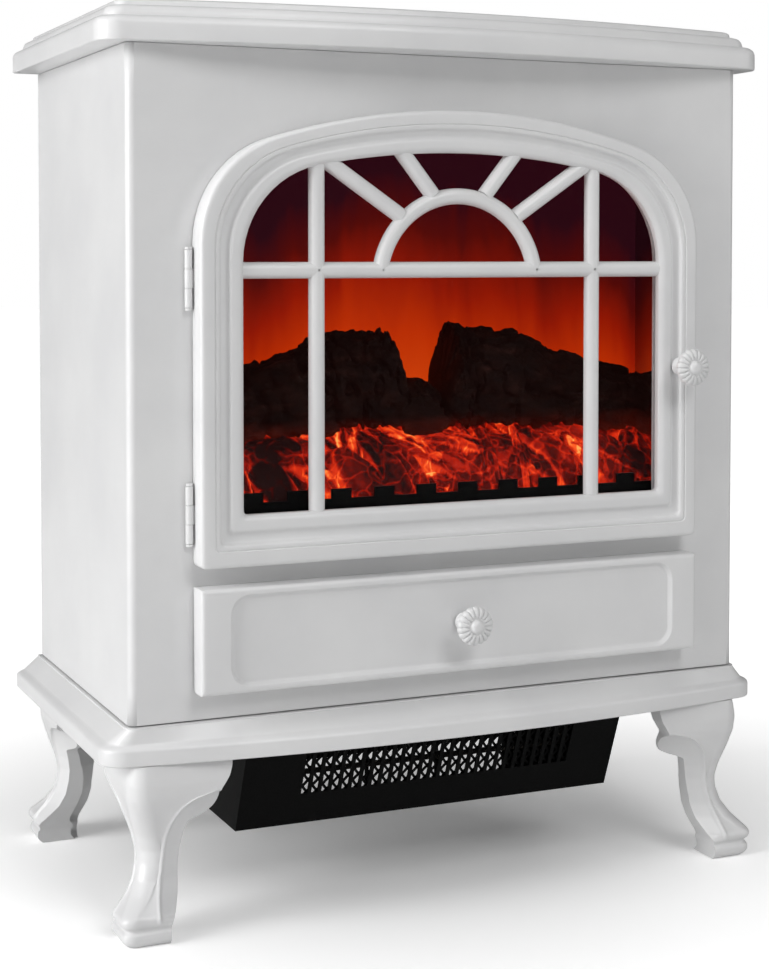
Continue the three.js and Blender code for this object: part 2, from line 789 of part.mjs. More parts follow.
function thermostatBody() {
  const x = THERMOSTAT_X;
  const z = CONTROL_MID_Z;
  const can = block(x - 15, x + 15, CONTROL_Y + SHEET + GAP, CONTROL_Y + 22, z - 15, z + 15);
  return join(can, rod("y", 3, 12, x, CONTROL_Y + 2.5, z));
}

// ---------- firebox ----------
function fireboxLiner() {
  const shell = block(-BOX_HALF_W, BOX_HALF_W, BOX_Y0, BOX_Y1, BOX_Z0, BOX_Z1);
  const flange = block(-BOX_HALF_W - 8, BOX_HALF_W + 8, BOX_Y0, BOX_Y0 + THIN, BOX_Z0 - 6, BOX_Z1 + 6);
  const inside = block(
    -BOX_HALF_W + THIN,
    BOX_HALF_W - THIN,
    BOX_Y0 - 2,
    BOX_Y1 - THIN,
    BOX_Z0 + THIN,
    BOX_Z1 - THIN,
  );
  return cut(join(shell, flange), inside);
}

const LINER_IN = BOX_HALF_W - THIN - GAP;

function flameScreen() {
  return block(
    -LINER_IN,
    LINER_IN,
    SCREEN_Y,
    SCREEN_Y + 3,
    BOX_Z0 + THIN + GAP,
    BOX_Z1 - THIN - GAP,
  );
}

// Height of the ember moulding: a front ridge, a shelf behind it and shallow lumps.
function emberHeight(x, y) {
  const rise = THREE.MathUtils.smoothstep(y, 14, 30);
  const fall = THREE.MathUtils.smoothstep(y, 32, 46);
  const lumps = 3 * Math.sin(x * 0.11 + y * 0.05) + 2 * Math.sin(x * 0.23 - y * 0.17);
  return BODY_Z + 133 + 36 * rise - 12 * fall + lumps * rise;
}

function emberBed() {
  const across = 20;
  const deep = 7;
  const y0 = 14;
  const y1 = SCREEN_Y - 2;
  const half = LINER_IN - 4;
  const wall = 3;
  const points = [];
  for (const drop of [0, wall]) {
    for (let j = 0; j <= deep; j++) {
      for (let i = 0; i <= across; i++) {
        const x = -half + (2 * half * i) / across;
        const y = y0 + ((y1 - y0) * j) / deep;
        points.push(new THREE.Vector3(x, y, emberHeight(x, y) - drop));
      }
    }
  }
  const row = across + 1;
  const layer = row * (deep + 1);
  const index = [];
  for (let j = 0; j < deep; j++) {
    for (let i = 0; i < across; i++) {
      const a = j * row + i;
      index.push(a, a + 1, a + row + 1, a, a + row + 1, a + row);
      const b = a + layer;
      index.push(b, b + row + 1, b + 1, b, b + row, b + row + 1);
    }
  }
  const rim = [];
  for (let i = 0; i < across; i++) rim.push(i);
  for (let j = 0; j < deep; j++) rim.push(j * row + across);
  for (let i = across; i > 0; i--) rim.push(deep * row + i);
  for (let j = deep; j > 0; j--) rim.push(j * row);
  rim.forEach((a, k) => {
    const b = rim[(k + 1) % rim.length];
    index.push(a, a + layer, b + layer, a, b + layer, b);
  });
  return facetted(points, index);
}

// A moulded log: rounded sections of changing radius along a bent centre line.
function log(path, radii, seed) {
  const curve = new THREE.CatmullRomCurve3(path.map((p) => new THREE.Vector3(...p)));
  const steps = 8;
  const sides = 10;
  const rings = [];
  for (let i = 0; i <= steps; i++) {
    const t = i / steps;
    const centre = curve.getPointAt(t);
    const along = curve.getTangentAt(t);
    const side = new THREE.Vector3(0, 0, 1).cross(along).normalize();
    const up = new THREE.Vector3().crossVectors(along, side);
    const base = THREE.MathUtils.lerp(radii[0], radii[1], t);
    const ends = i === 0 || i === steps ? 0.82 : 1;
    const ring = [];
    for (let k = 0; k < sides; k++) {
      const a = (k / sides) * 2 * Math.PI;
      const r = base * ends * (1 + 0.05 * Math.sin(3 * a + seed + 2 * t));
      const point = centre.clone();
      point.addScaledVector(side, r * Math.cos(a));
      point.addScaledVector(up, r * Math.sin(a));
      ring.push(point);
    }
    rings.push(ring);
  }
  return loftedFan(rings);
}

// Closed surface through round rings whose ends are capped by a fan at their centre.
function loftedFan(rings) {
  const count = rings[0].length;
  const middle = (ring) =>
    ring.reduce((sum, p) => sum.add(p), new THREE.Vector3()).divideScalar(count);
  const points = [...rings.flat(), middle(rings[0]), middle(rings[rings.length - 1])];
  const start = points.length - 2;
  const last = (rings.length - 1) * count;
  const index = [];
  for (let i = 0; i < count; i++) {
    const next = (i + 1) % count;
    index.push(start, next, i, start + 1, last + i, last + next);
    for (let row = 0; row + 1 < rings.length; row++) {
      const a = row * count + i;
      const b = row * count + next;
      index.push(a, b, b + count, a, b + count, a + count);
    }
  }
  return facetted(points, index);
}

// Castellated strip across the front of the embers.
function grateFront() {
  const pitch = 31.7;
  const tooth = 14.7;
  const pairs = 5;
  const z0 = BOX_Z0 + THIN + GAP;
  const half = 182;
  const low = BODY_Z + 139.5;
  const high = BODY_Z + 146;
  const points = [
    [-half, z0],
    [half, z0],
    [half, low],
  ];
  for (let i = pairs - 1; i >= -pairs; i--) {
    const middle = (i + 0.5) * pitch;
    const right = middle + tooth / 2;
    const left = middle - tooth / 2;
    points.push([right, low], [right, high], [left, high], [left, low]);
  }
  points.push([-half, low]);
  return facing(shapeOf(points), 8, 9.5);
}

function lightBoard() {
  const z = BOX_Z0 + THIN + GAP;
  const board = block(-186, 186, 24, 92, z, z + 1.6);
  const lamps = [];
  const pitch = 43;
  for (let i = -4; i <= 4; i++) {
    lamps.push(rod("z", 3, 5, pitch * i, i % 2 ? 40 : 84, z + 3.5, 8));
  }
  return join(board, ...lamps);
}

// A spindle with bent foil tongues that throw moving light on the back of the screen.
function flameRotor() {
  const { y, z, half, shaftHalf, r } = ROTOR;
  const tongues = [];
  const count = 13;
  for (let i = 0; i < count; i++) {
    const strip = new THREE.BoxGeometry(17, 0.8, r);
    strip.translate(0, 0, r / 2);
    strip.rotateX((i * 5 * Math.PI) / 7);
    strip.translate(-half + 22 + (i * 2 * (half - 22)) / (count - 1), y, z);
    tongues.push(solid(strip));
  }
  return join(rod("x", 2, 2 * shaftHalf, 0, y, z, 10), ...tongues);
}

function rotorMotor() {
  const { y, z, half } = ROTOR;
  const can = rod("x", 20, 12, -LINER_IN + 6.2, y, z, 20);
  const boss = rod("x", 6, 6, -LINER_IN + 14, y, z, 12);
  const bore = rod("x", 2 + GAP, 20, -half - 7, y, z, 10);
  return cut(join(can, boss), bore);
}

function rotorBearing() {
  const { y, z, half } = ROTOR;
  const plate = block(LINER_IN - 2, LINER_IN, y - 9, y + 9, z - 9, z + 9);
  const bush = rod("x", 5, 20, LINER_IN - 11.5, y, z, 16);
  const bore = rod("x", 2 + GAP, 22, half + 9, y, z, 10);
  return cut(join(plate, bush), bore);
}

// ---------- heater under the plinth ----------
const heaterFrontY = (z, offset = 0) => HEATER_TOP_Y + offset + HEATER_LEAN * (LEG_H - z);

function heaterHousing() {
  const top = LEG_H + 5.5;
  const outer = sideways(
    [
      [heaterFrontY(top), top],
      [heaterFrontY(HEATER_Z0), HEATER_Z0],
      [HEATER_BACK, HEATER_Z0],
      [HEATER_BACK, top],
    ],
    -HEATER_HALF_W,
    HEATER_HALF_W,
  );
  const wall = 1.3;
  const floor = HEATER_Z0 + THIN;
  const inner = sideways(
    [
      [heaterFrontY(top + 9, wall), top + 9],
      [heaterFrontY(floor, wall), floor],
      [HEATER_BACK - THIN, floor],
      [HEATER_BACK - THIN, top + 9],
    ],
    -HEATER_HALF_W + THIN,
    HEATER_HALF_W - THIN,
  );
  const flange = block(-153, 153, 9, 118, LEG_H + 4 + GAP, top);
  const outlets = [];
  for (let i = 0; i < SLOTS.count; i++) {
    const x = SLOTS.x0 + i * SLOTS.pitch;
    outlets.push(block(x - SLOTS.width / 2, x + SLOTS.width / 2, 5, 38, SLOTS.z0, SLOTS.z1));
  }
  const inlets = [];
  for (let i = 0; i < INLETS.count; i++) {
    const x = INLETS.x0 + i * INLETS.pitch;
    const half = INLETS.width / 2;
    inlets.push(block(x - half, x + half, INLETS.y0, HEATER_BACK + 2, HEATER_Z0 - 2, INLETS.z1));
  }
  return cut(join(outer, flange), inner, ...outlets, ...inlets);
}

// Guard of expanded metal behind the outlet slots, drawn as a strip with tall openings.
function outletMesh() {
  const z0 = 68;
  const z1 = 107;
  const near = 1.8;
  const far = 2.8;
  const plate = sideways(
    [
      [heaterFrontY(z1, near), z1],
      [heaterFrontY(z0, near), z0],
      [heaterFrontY(z0, far), z0],
      [heaterFrontY(z1, far), z1],
    ],
    -106,
    110,
  );
  const cells = [];
  for (let i = 0; i < 26; i++) {
    const x = -96 + i * 8;
    cells.push(block(x - 2.8, x + 2.8, 5, 45, z0 + 3, z1 - 4));
  }
  return cut(plate, ...cells);
}

function blowerWheel() {
  const { y, z, r, x0, x1, blades } = WHEEL;
  const pieces = [rod("x", 2.5, x1 - x0 + 26, (x0 + x1) / 2 + 5, y, z, 10)];
  for (const x of [x0, x1]) {
    pieces.push(rod("x", r, 1.6, x, y, z, 24));
  }
  for (let i = 0; i < blades; i++) {
    const blade = new THREE.BoxGeometry(x1 - x0, 0.9, 6);
    blade.rotateX(0.6);
    blade.translate((x0 + x1) / 2, 0, r - 3.4);
    blade.rotateX((i / blades) * 2 * Math.PI);
    blade.translate(0, y, z);
    pieces.push(solid(blade));
  }
  return join(...pieces);
}

function blowerMotor() {
  const { y, z, x0 } = WHEEL;
  const can = rod("x", 19, 30, -125, y, z, 20);
  const nose = rod("x", 7, 4, -108.2, y, z, 12);
  const bore = rod("x", 2.5 + GAP, 12, x0 - 8, y, z, 10);
  return cut(join(can, nose), bore);
}

function blowerBearing() {
  const { y, z } = WHEEL;
  const bush = rod("x", 6, 8, 122.5, y, z, 16);
  const foot = block(119, 126, y - 4, HEATER_BACK - THIN - GAP, z - 4, z + 4);
  const bore = rod("x", 2.5 + GAP, 20, 122, y, z, 10);
  return cut(join(bush, foot), bore);
}

// Curved air guide round the back and top of the wheel.
function blowerScroll() {
  const { y, z, r, x0, x1 } = WHEEL;
  const inner = r + 1.4;
  const outer = r + 2.2;
  const from = -0.35 * Math.PI;
  const to = 0.75 * Math.PI;
  const points = [];
  for (let i = 0; i <= 12; i++) {
    const a = from + (i / 12) * (to - from);
    points.push([y + outer * Math.cos(a), z + outer * Math.sin(a)]);
  }
  for (let i = 12; i >= 0; i--) {
    const a = from + (i / 12) * (to - from);
    points.push([y + inner * Math.cos(a), z + inner * Math.sin(a)]);
  }
  return sideways(points, x0 - 2, x1 + 2);
}

const ELEMENT = { y: 50, z0: 82, z1: 121, x0: -104, x1: 116 };

function elementFrame() {
  const { y, z0, z1, x0, x1 } = ELEMENT;
  const sheet = block(x0, x1, y - 5, y + 5, z0, z1);
  const window1 = block(x0 + 6, 5.5, y - 8, y + 8, z0 + 3, z1 - 3);
  const window2 = block(7.5, x1 - 6, y - 8, y + 8, z0 + 3, z1 - 3);
  const core = block(x0 + 1.2, x1 - 1.2, y - 3.8, y + 8, z0 + 1.2, z1 - 1.2);
  const ribSlot = block(x0 + 6, x1 - 6, y - 2.6, y + 2.6, z0 + 7, z1 - 7);
  return cut(sheet, window1, window2, core, ribSlot);
}

function heatingWire() {
  const { y, z0, z1, x0, x1 } = ELEMENT;
  const runs = 14;
  const low = z0 + 9;
  const high = z1 - 9;
  const points = [];
  for (let i = 0; i <= runs; i++) {
    const x = x0 + 10 + (i * (x1 - x0 - 20)) / runs;
    points.push(new THREE.Vector3(x, y + 1.5, i % 2 ? high : low));
  }
  const path = new THREE.CatmullRomCurve3(points, false, "catmullrom", 0.2);
  const section = new THREE.Shape();
  section.absarc(0, 0, 1.1, 0, 2 * Math.PI);
  const geometry = new THREE.ExtrudeGeometry(section, {
    steps: runs * 3,
    extrudePath: path,
    curveSegments: 3,
  });
  return solid(geometry);
}

function thermalCutout() {
  const x = 134.5;
  const z = 104;
  const back = HEATER_BACK - THIN - GAP;
  const can = rod("y", 6.5, 7, x, back - 3.5, z, 12);
  return join(can, block(x - 8, x + 8, back - 1.2, back, z - 3, z + 3));
}

// ---------- the assemblies ----------
const casing = assembly();
add(casing, "mantel_top", mantel(), WHITE);
add(casing, "body_shell", bodyShell(), WHITE);
add(casing, "base_plinth", plinth(), WHITE);
add(casing, "back_panel", backPanel(), ZINC);
add(casing, "cord_gland", cordGland(), BLACK);
add(casing, "terminal_block", terminalBlock(), MICA);
add(casing, "leg_front_left", leg(-1, -1), WHITE);
add(casing, "leg_front_right", leg(1, -1), WHITE);
add(casing, "leg_rear_left", leg(-1, 1), WHITE);
add(casing, "leg_rear_right", leg(1, 1), WHITE);

const door = assembly();
add(door, "door_frame", doorFrame(), WHITE);
add(door, "door_lattice", doorLattice(), WHITE);
add(door, "door_glass", doorGlass(), GLASS);
add(door, "door_knob", daisyKnob(DOOR_KNOB.x, DOOR_KNOB.z), WHITE);
add(door, "door_knob_screw", knobScrew(DOOR_KNOB.x, -0.9, DOOR_KNOB.z), ZINC);
add(
  door,
  "door_strike_plate",
  block(170, 183, -2, -1, DOOR_KNOB.z - 23.5, DOOR_KNOB.z - 14.5),
  ZINC,
);
["lower", "upper"].forEach((which, i) => {
  add(door, which + "_hinge_door_leaf", hingeDoorLeaf(HINGE_Z[i]), WHITE);
  add(casing, which + "_hinge_body_leaf", hingeBodyLeaf(HINGE_Z[i]), WHITE);
  add(casing, which + "_hinge_pin", hingePin(HINGE_Z[i]), WHITE);
});

const flap = assembly();
add(flap, "control_flap", controlFlap(), WHITE);
add(flap, "flap_knob", daisyKnob(0, FLAP_KNOB_Z), WHITE);
add(flap, "flap_knob_screw", knobScrew(0, -3.6, FLAP_KNOB_Z), ZINC);
for (const [name, side] of Object.entries({ left: -1, right: 1 })) {
  add(flap, "flap_pin_" + name, flapPin(side), ZINC);
  add(casing, "flap_bracket_" + name, flapBracket(side), ZINC);
}

const controls = assembly();
add(controls, "control_surround", controlSurround(), BLACK);
add(controls, "control_panel", controlPanel(), BLACK);
for (const [name, x] of Object.entries(SWITCH_X)) {
  add(controls, name, switchRocker(x), BLACK);
  add(controls, name + "_body", switchBody(x), DARK_STEEL);
}
add(controls, "thermostat_knob", thermostatKnob(), BLACK);
add(controls, "thermostat_body", thermostatBody(), ZINC);

const fire = assembly();
add(fire, "firebox_liner", fireboxLiner(), BLACK);
add(fire, "flame_screen", flameScreen(), SCREEN);
add(fire, "ember_bed", emberBed(), EMBER);
add(
  fire,
  "log_left",
  log(
    [
      [-180, 62, BODY_Z + 196],
      [-120, 62, BODY_Z + 207],
      [-60, 62, BODY_Z + 221],
      [-26, 62, BODY_Z + 215],
    ],
    [25, 28],
    0.4,
  ),
  BARK,
);
add(
  fire,
  "log_right",
  log(
    [
      [22, 62, BODY_Z + 222],
      [60, 62, BODY_Z + 217],
      [105, 62, BODY_Z + 206],
      [190, 62, BODY_Z + 186],
    ],
    [27, 23],
    1.9,
  ),
  BARK,
);
add(
  fire,
  "log_centre",
  log(
    [
      [-4, 36, BODY_Z + 188],
      [-3, 60, BODY_Z + 196],
      [-4, 88, BODY_Z + 198],
    ],
    [13, 15],
    3.1,
  ),
  BARK,
);
add(fire, "grate_front", grateFront(), BLACK);
add(fire, "light_board", lightBoard(), BOARD);
add(fire, "flame_rotor", flameRotor(), ZINC);
add(fire, "rotor_motor", rotorMotor(), DARK_STEEL);
add(fire, "rotor_bearing", rotorBearing(), BRASS);

const heater = assembly();
add(heater, "heater_housing", heaterHousing(), BLACK);
add(heater, "outlet_mesh", outletMesh(), DARK_STEEL);
add(heater, "blower_wheel", blowerWheel(), ZINC);
add(heater, "blower_motor", blowerMotor(), DARK_STEEL);
add(heater, "blower_bearing", blowerBearing(), BRASS);
add(heater, "blower_scroll", blowerScroll(), ZINC);
add(heater, "element_frame", elementFrame(), MICA);
add(heater, "heating_wire", heatingWire(), NICHROME);
add(heater, "thermal_cutout", thermalCutout(), MICA);

export default stove;
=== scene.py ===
"""A stove-style electric fire: white enamelled casing on cabriole legs, bowed mantel, arched
glazed door over glowing logs, drop-down control flap and a black fan heater underneath.

Shapes are worked out in stove millimetres: x to the right, y back from the casing's front
face, z up from the floor. put() turns them into the frame's metres."""

import math

import bmesh
import bpy
import numpy as np
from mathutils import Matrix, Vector


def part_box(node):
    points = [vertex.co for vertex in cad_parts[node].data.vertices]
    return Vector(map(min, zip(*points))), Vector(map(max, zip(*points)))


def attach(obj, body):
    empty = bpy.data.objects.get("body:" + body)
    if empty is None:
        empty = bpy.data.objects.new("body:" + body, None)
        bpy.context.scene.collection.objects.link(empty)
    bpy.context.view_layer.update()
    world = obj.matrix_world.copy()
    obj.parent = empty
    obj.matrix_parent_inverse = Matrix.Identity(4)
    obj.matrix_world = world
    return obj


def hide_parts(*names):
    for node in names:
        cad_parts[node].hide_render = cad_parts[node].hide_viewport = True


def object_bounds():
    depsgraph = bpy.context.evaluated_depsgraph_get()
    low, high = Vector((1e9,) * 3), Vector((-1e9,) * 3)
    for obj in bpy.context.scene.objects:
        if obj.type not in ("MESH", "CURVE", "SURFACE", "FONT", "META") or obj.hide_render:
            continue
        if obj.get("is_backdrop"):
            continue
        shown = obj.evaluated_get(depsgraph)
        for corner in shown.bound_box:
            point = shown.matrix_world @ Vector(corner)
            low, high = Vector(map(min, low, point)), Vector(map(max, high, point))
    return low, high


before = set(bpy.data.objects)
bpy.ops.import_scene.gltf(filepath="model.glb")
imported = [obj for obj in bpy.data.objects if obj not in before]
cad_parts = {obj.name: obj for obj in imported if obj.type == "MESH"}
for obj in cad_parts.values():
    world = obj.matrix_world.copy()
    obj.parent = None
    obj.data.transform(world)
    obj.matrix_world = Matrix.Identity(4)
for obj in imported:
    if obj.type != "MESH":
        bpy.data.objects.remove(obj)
cad_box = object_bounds()

MM = 0.001
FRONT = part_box("body_shell")[0].y
DEPTH = 240.0
PLINTH_Z = 115.0
CASING_Z = 139.0
CASING_TOP = 577.7
MANTEL_Z = 578.0
HALF_PI = math.pi / 2


# ---------------------------------------------------------------- making meshes
def put(points):
    """Stove millimetres to the frame's metres: scaled, with y moved to the casing's front."""
    placed = np.array(points, float) * MM
    placed[..., 1] += FRONT
    return placed


def skin(name, grids, sharp=40.0, weld=True):
    """One mesh from one or more grids of points (rows, columns, xyz): neighbouring points
    are joined by four-sided faces, doubles are welded and the faces turned outwards."""
    corners, quads, start = [], [], 0
    for grid in grids:
        rows, columns = grid.shape[:2]
        index = np.arange(rows * columns).reshape(rows, columns) + start
        quads.append(
            np.stack(
                [index[:-1, :-1], index[:-1, 1:], index[1:, 1:], index[1:, :-1]], axis=-1
            ).reshape(-1, 4)
        )
        corners.append(put(grid).reshape(-1, 3))
        start += rows * columns
    return shell(name, np.concatenate(corners), np.concatenate(quads), sharp, weld)


def shell(name, corners, quads, sharp=40.0, weld=True):
    """One mesh from a list of points in metres and a list of four-cornered faces."""
    mesh = bpy.data.meshes.new(name)
    mesh.from_pydata(corners.tolist(), [], quads.tolist())
    work = bmesh.new()
    work.from_mesh(mesh)
    if weld:
        bmesh.ops.remove_doubles(work, verts=work.verts, dist=2e-6)
        bmesh.ops.dissolve_degenerate(work, edges=work.edges, dist=1e-6)
        bmesh.ops.recalc_face_normals(work, faces=work.faces)
    work.to_mesh(mesh)
    work.free()
    mesh.shade_smooth()
    mesh.set_sharp_from_angle(angle=math.radians(sharp))
    piece = bpy.data.objects.new(name, mesh)
    bpy.context.scene.collection.objects.link(piece)
    return piece


def settle(piece, material, slot, body, *nodes):
    """Gives a piece its finish, the body it rides on and the nodes it shows. The slot argument is not used.
    """
    piece.data.materials.append(material)
    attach(piece, body)
    if nodes:
        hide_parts(*nodes)
    return piece


def closed(loop):
    """A loop of points with its first point repeated at the end."""
    return np.concatenate([loop, loop[:1]])


def curve(cx, cy, r, start, stop, steps):
    """Points along a circular arc about (cx, cy)."""
    a = np.linspace(start, stop, steps + 1)
    return np.stack([cx + r * np.cos(a), cy + r * np.sin(a)], axis=-1)


def eased(corners, radii, steps=5):
    """A polyline whose corners are rounded: each corner P with radius r is replaced by the
    quadratic curve from r before it to r after it, bent towards P."""
    points = np.array(corners, float)
    t = np.linspace(0, 1, steps + 1)[:, None]
    out = [points[:1]]
    for before, corner, after, r in zip(points[:-2], points[1:-1], points[2:], radii[1:-1]):
        lead, trail = before - corner, after - corner
        reach_in = min(r, 0.49 * np.linalg.norm(lead))
        reach_out = min(r, 0.49 * np.linalg.norm(trail))
        a = corner + lead / np.linalg.norm(lead) * reach_in
        b = corner + trail / np.linalg.norm(trail) * reach_out
        bend = (1 - t) ** 2 * a + 2 * t * (1 - t) * corner + t**2 * b
        out.append(bend if r > 0 else corner[None])
    out.append(points[-1:])
    return np.concatenate(out)


def stations(at, table):
    """Values read off a table by straight runs between its entries, then rounded by
    averaging over a short window either side."""
    table = np.array(table, float)
    shifts = np.linspace(-1.0, 1.0, 9)[:, None] * 1.4
    return np.stack(
        [np.interp(at[None] + shifts, table[:, 0], column).mean(0) for column in table[:, 1:].T],
        axis=-1,
    )


def hashed(i, j, k):
    """A repeatable number from 0 to 1 for each lattice point."""
    s = np.sin(i * 127.1 + j * 311.7 + k * 74.7) * 43758.5453
    return s - np.floor(s)


def cloud(x, y, z):
    """Smooth value noise: the lattice numbers blended along each axis by 3t^2 - 2t^3."""
    cell = [np.floor(a) for a in (x, y, z)]
    f = [a - c for a, c in zip((x, y, z), cell)]
    f = [t * t * (3 - 2 * t) for t in f]
    total = 0.0
    for dx in (0, 1):
        for dy in (0, 1):
            for dz in (0, 1):
                weight = 1.0
                for part, d in zip(f, (dx, dy, dz)):
                    weight = weight * (part if d else 1 - part)
                total = total + weight * hashed(cell[0] + dx, cell[1] + dy, cell[2] + dz)
    return total


def clouds(x, y, z, octaves=4):
    """Noise at halving sizes and heights, added up, about zero."""
    total, size = 0.0, 1.0
    for octave in range(octaves):
        total = total + (cloud(x / size, y / size, z / size + 9.3 * octave) - 0.5) * size
        size *= 0.5
    return total


# ---------------------------------------------------------------- finishes
def finish(name, colour, roughness, metallic=0.0, **sockets):
    """A plain finish: its fixed numbers are set on the shader itself."""
    material = bpy.data.materials.new(name)
    material.use_nodes = True
    shader = material.node_tree.nodes["Principled BSDF"]
    shader.inputs["Base Color"].default_value = (*colour, 1)
    shader.inputs["Roughness"].default_value = roughness
    shader.inputs["Metallic"].default_value = metallic
    for socket, value in sockets.items():
        shader.inputs[socket.replace("_", " ")].default_value = value
    return material


def node(material, kind, settings=None, **inputs):
    """Adds a node. Each input is a value, or another node's output to link to, and goes by
    the socket's name, or by i and its number where names repeat."""
    tree = material.node_tree
    added = tree.nodes.new(kind)
    for key, value in (settings or {}).items():
        setattr(added, key, value)
    for key, value in inputs.items():
        socket = added.inputs[int(key[1:])] if key[0] == "i" and key[1:].isdigit() else None
        socket = socket or added.inputs[key.replace("_", " ")]
        if isinstance(value, bpy.types.NodeSocket):
            tree.links.new(value, socket)
        else:
            socket.default_value = value
    return added


def place(material, size=(1, 1, 1)):
    """Object coordinates, stretched along each axis."""
    seat = node(material, "ShaderNodeTexCoord").outputs["Object"]
    return node(material, "ShaderNodeMapping", Vector=seat, Scale=size).outputs[0]


def noise(material, where, scale, detail=3.0, rough=0.5, **more):
    """Fractal noise read at a place."""
    return node(
        material, "ShaderNodeTexNoise", Vector=where, Scale=scale, Detail=detail, Roughness=rough, **more
    ).outputs["Fac"]


def ramp(material, fac, *stops):
    """A colour ramp given as (position, colour) stops."""
    band = node(material, "ShaderNodeValToRGB", Fac=fac)
    marks = band.color_ramp.elements
    marks.remove(marks[-1])
    marks[0].position, marks[0].color = stops[0][0], (*stops[0][1], 1)
    for position, colour in stops[1:]:
        marks.new(position).color = (*colour, 1)
    return band.outputs["Color"]


def maths(material, operation, a, b=0.5, c=0.0):
    """One arithmetic node."""
    return node(material, "ShaderNodeMath", {"operation": operation}, i0=a, i1=b, i2=c).outputs[0]


def shader_of(material):
    return material.node_tree.nodes["Principled BSDF"]


def feed(material, socket, output):
    material.node_tree.links.new(output, shader_of(material).inputs[socket])


def bump(material, height, distance, strength=1.0):
    """Bends the surface by a height pattern."""
    out = node(material, "ShaderNodeBump", Height=height, Distance=distance, Strength=strength)
    feed(material, "Normal", out.outputs[0])


def enamel():
    """White stoving enamel: an even coat with faint clouding and a fine orange peel."""
    paint = finish("white_enamel", (0.75, 0.75, 0.75), 0.38, Coat_Weight=0.25, Coat_Roughness=0.22)
    where = place(paint)
    tone = noise(paint, where, 14.0, 4.0)
    feed(paint, "Base Color", ramp(paint, tone, (0.3, (0.72, 0.72, 0.725)), (0.7, (0.78, 0.78, 0.78))))
    patch = noise(paint, where, 60.0, 2.0)
    feed(paint, "Roughness", node(paint, "ShaderNodeMapRange", Value=patch, i3=0.34, i4=0.44).outputs[0])
    bump(paint, noise(paint, where, 900.0, 2.0), 0.00006, 0.6)
    return paint


def speckled(name, dark, light, roughness, metallic, scale, depth, shine=0.5):
    """A finish whose colour wanders between two tones, with a matching fine relief."""
    material = finish(name, dark, roughness, metallic, Specular_IOR_Level=shine)
    where = place(material)
    grain = noise(material, where, scale, 5.0, 0.6)
    feed(material, "Base Color", ramp(material, grain, (0.35, dark), (0.65, light)))
    rough = node(material, "ShaderNodeMapRange", Value=grain, i3=roughness - 0.07, i4=roughness + 0.07)
    feed(material, "Roughness", rough.outputs[0])
    bump(material, grain, depth, 0.7)
    return material


def pane():
    """Clear toughened glass, thin enough to see straight through, with a soft gloss."""
    glass = finish("clear_glass", (0.004, 0.004, 0.004), 0.06, Alpha=0.05)
    smear = noise(glass, place(glass), 9.0, 3.0)
    feed(glass, "Roughness", node(glass, "ShaderNodeMapRange", Value=smear, i3=0.04, i4=0.1).outputs[0])
    return glass


def flame_glow():
    """The diffuser behind the logs: orange low down, fading through red to maroon at the
    top and at the sides, broken up by tall soft tongues."""
    glow = finish("flame_glow", (0.01, 0.001, 0.001), 0.6, Specular_IOR_Level=0.05)
    seat = node(glow, "ShaderNodeTexCoord").outputs["Object"]
    axes = node(glow, "ShaderNodeSeparateXYZ", Vector=seat).outputs
    tall = place(glow, (1, 1, 0.16))
    wisps = noise(glow, tall, 34.0, 4.0, 0.55, Distortion=0.7)
    broad = noise(glow, place(glow, (1, 1, 0.35)), 9.0, 2.0)
    lift = maths(glow, "MULTIPLY_ADD", axes[2], 6.5, -2.28)
    side = maths(glow, "MULTIPLY", axes[0], axes[0])
    side = maths(glow, "MULTIPLY", side, 9.0)
    drift = maths(glow, "MULTIPLY", maths(glow, "SUBTRACT", wisps, 0.5), 0.42)
    swell = maths(glow, "MULTIPLY", maths(glow, "SUBTRACT", broad, 0.5), 0.5)
    height = maths(glow, "ADD", maths(glow, "ADD", lift, side), maths(glow, "ADD", drift, swell))
    colours = ramp(
        glow,
        height,
        (0.0, (0.62, 0.050, 0.003)),
        (0.22, (0.52, 0.030, 0.001)),
        (0.46, (0.29, 0.009, 0.001)),
        (0.7, (0.085, 0.003, 0.002)),
        (0.92, (0.022, 0.0025, 0.006)),
    )
    feed(glow, "Emission Color", colours)
    shader_of(glow).inputs["Emission Strength"].default_value = 1.0
    return glow


def stored_glow_and_painted_light(material):
    """The number that a piece carries in its UV map named heat: the strength of the embers' own glow, and on
    the logs the strength of the ember light painted on them.
    """
    pairs = node(material, "ShaderNodeUVMap", {"uv_map": "heat"}).outputs["UV"]
    return node(material, "ShaderNodeSeparateXYZ", Vector=pairs).outputs[0]


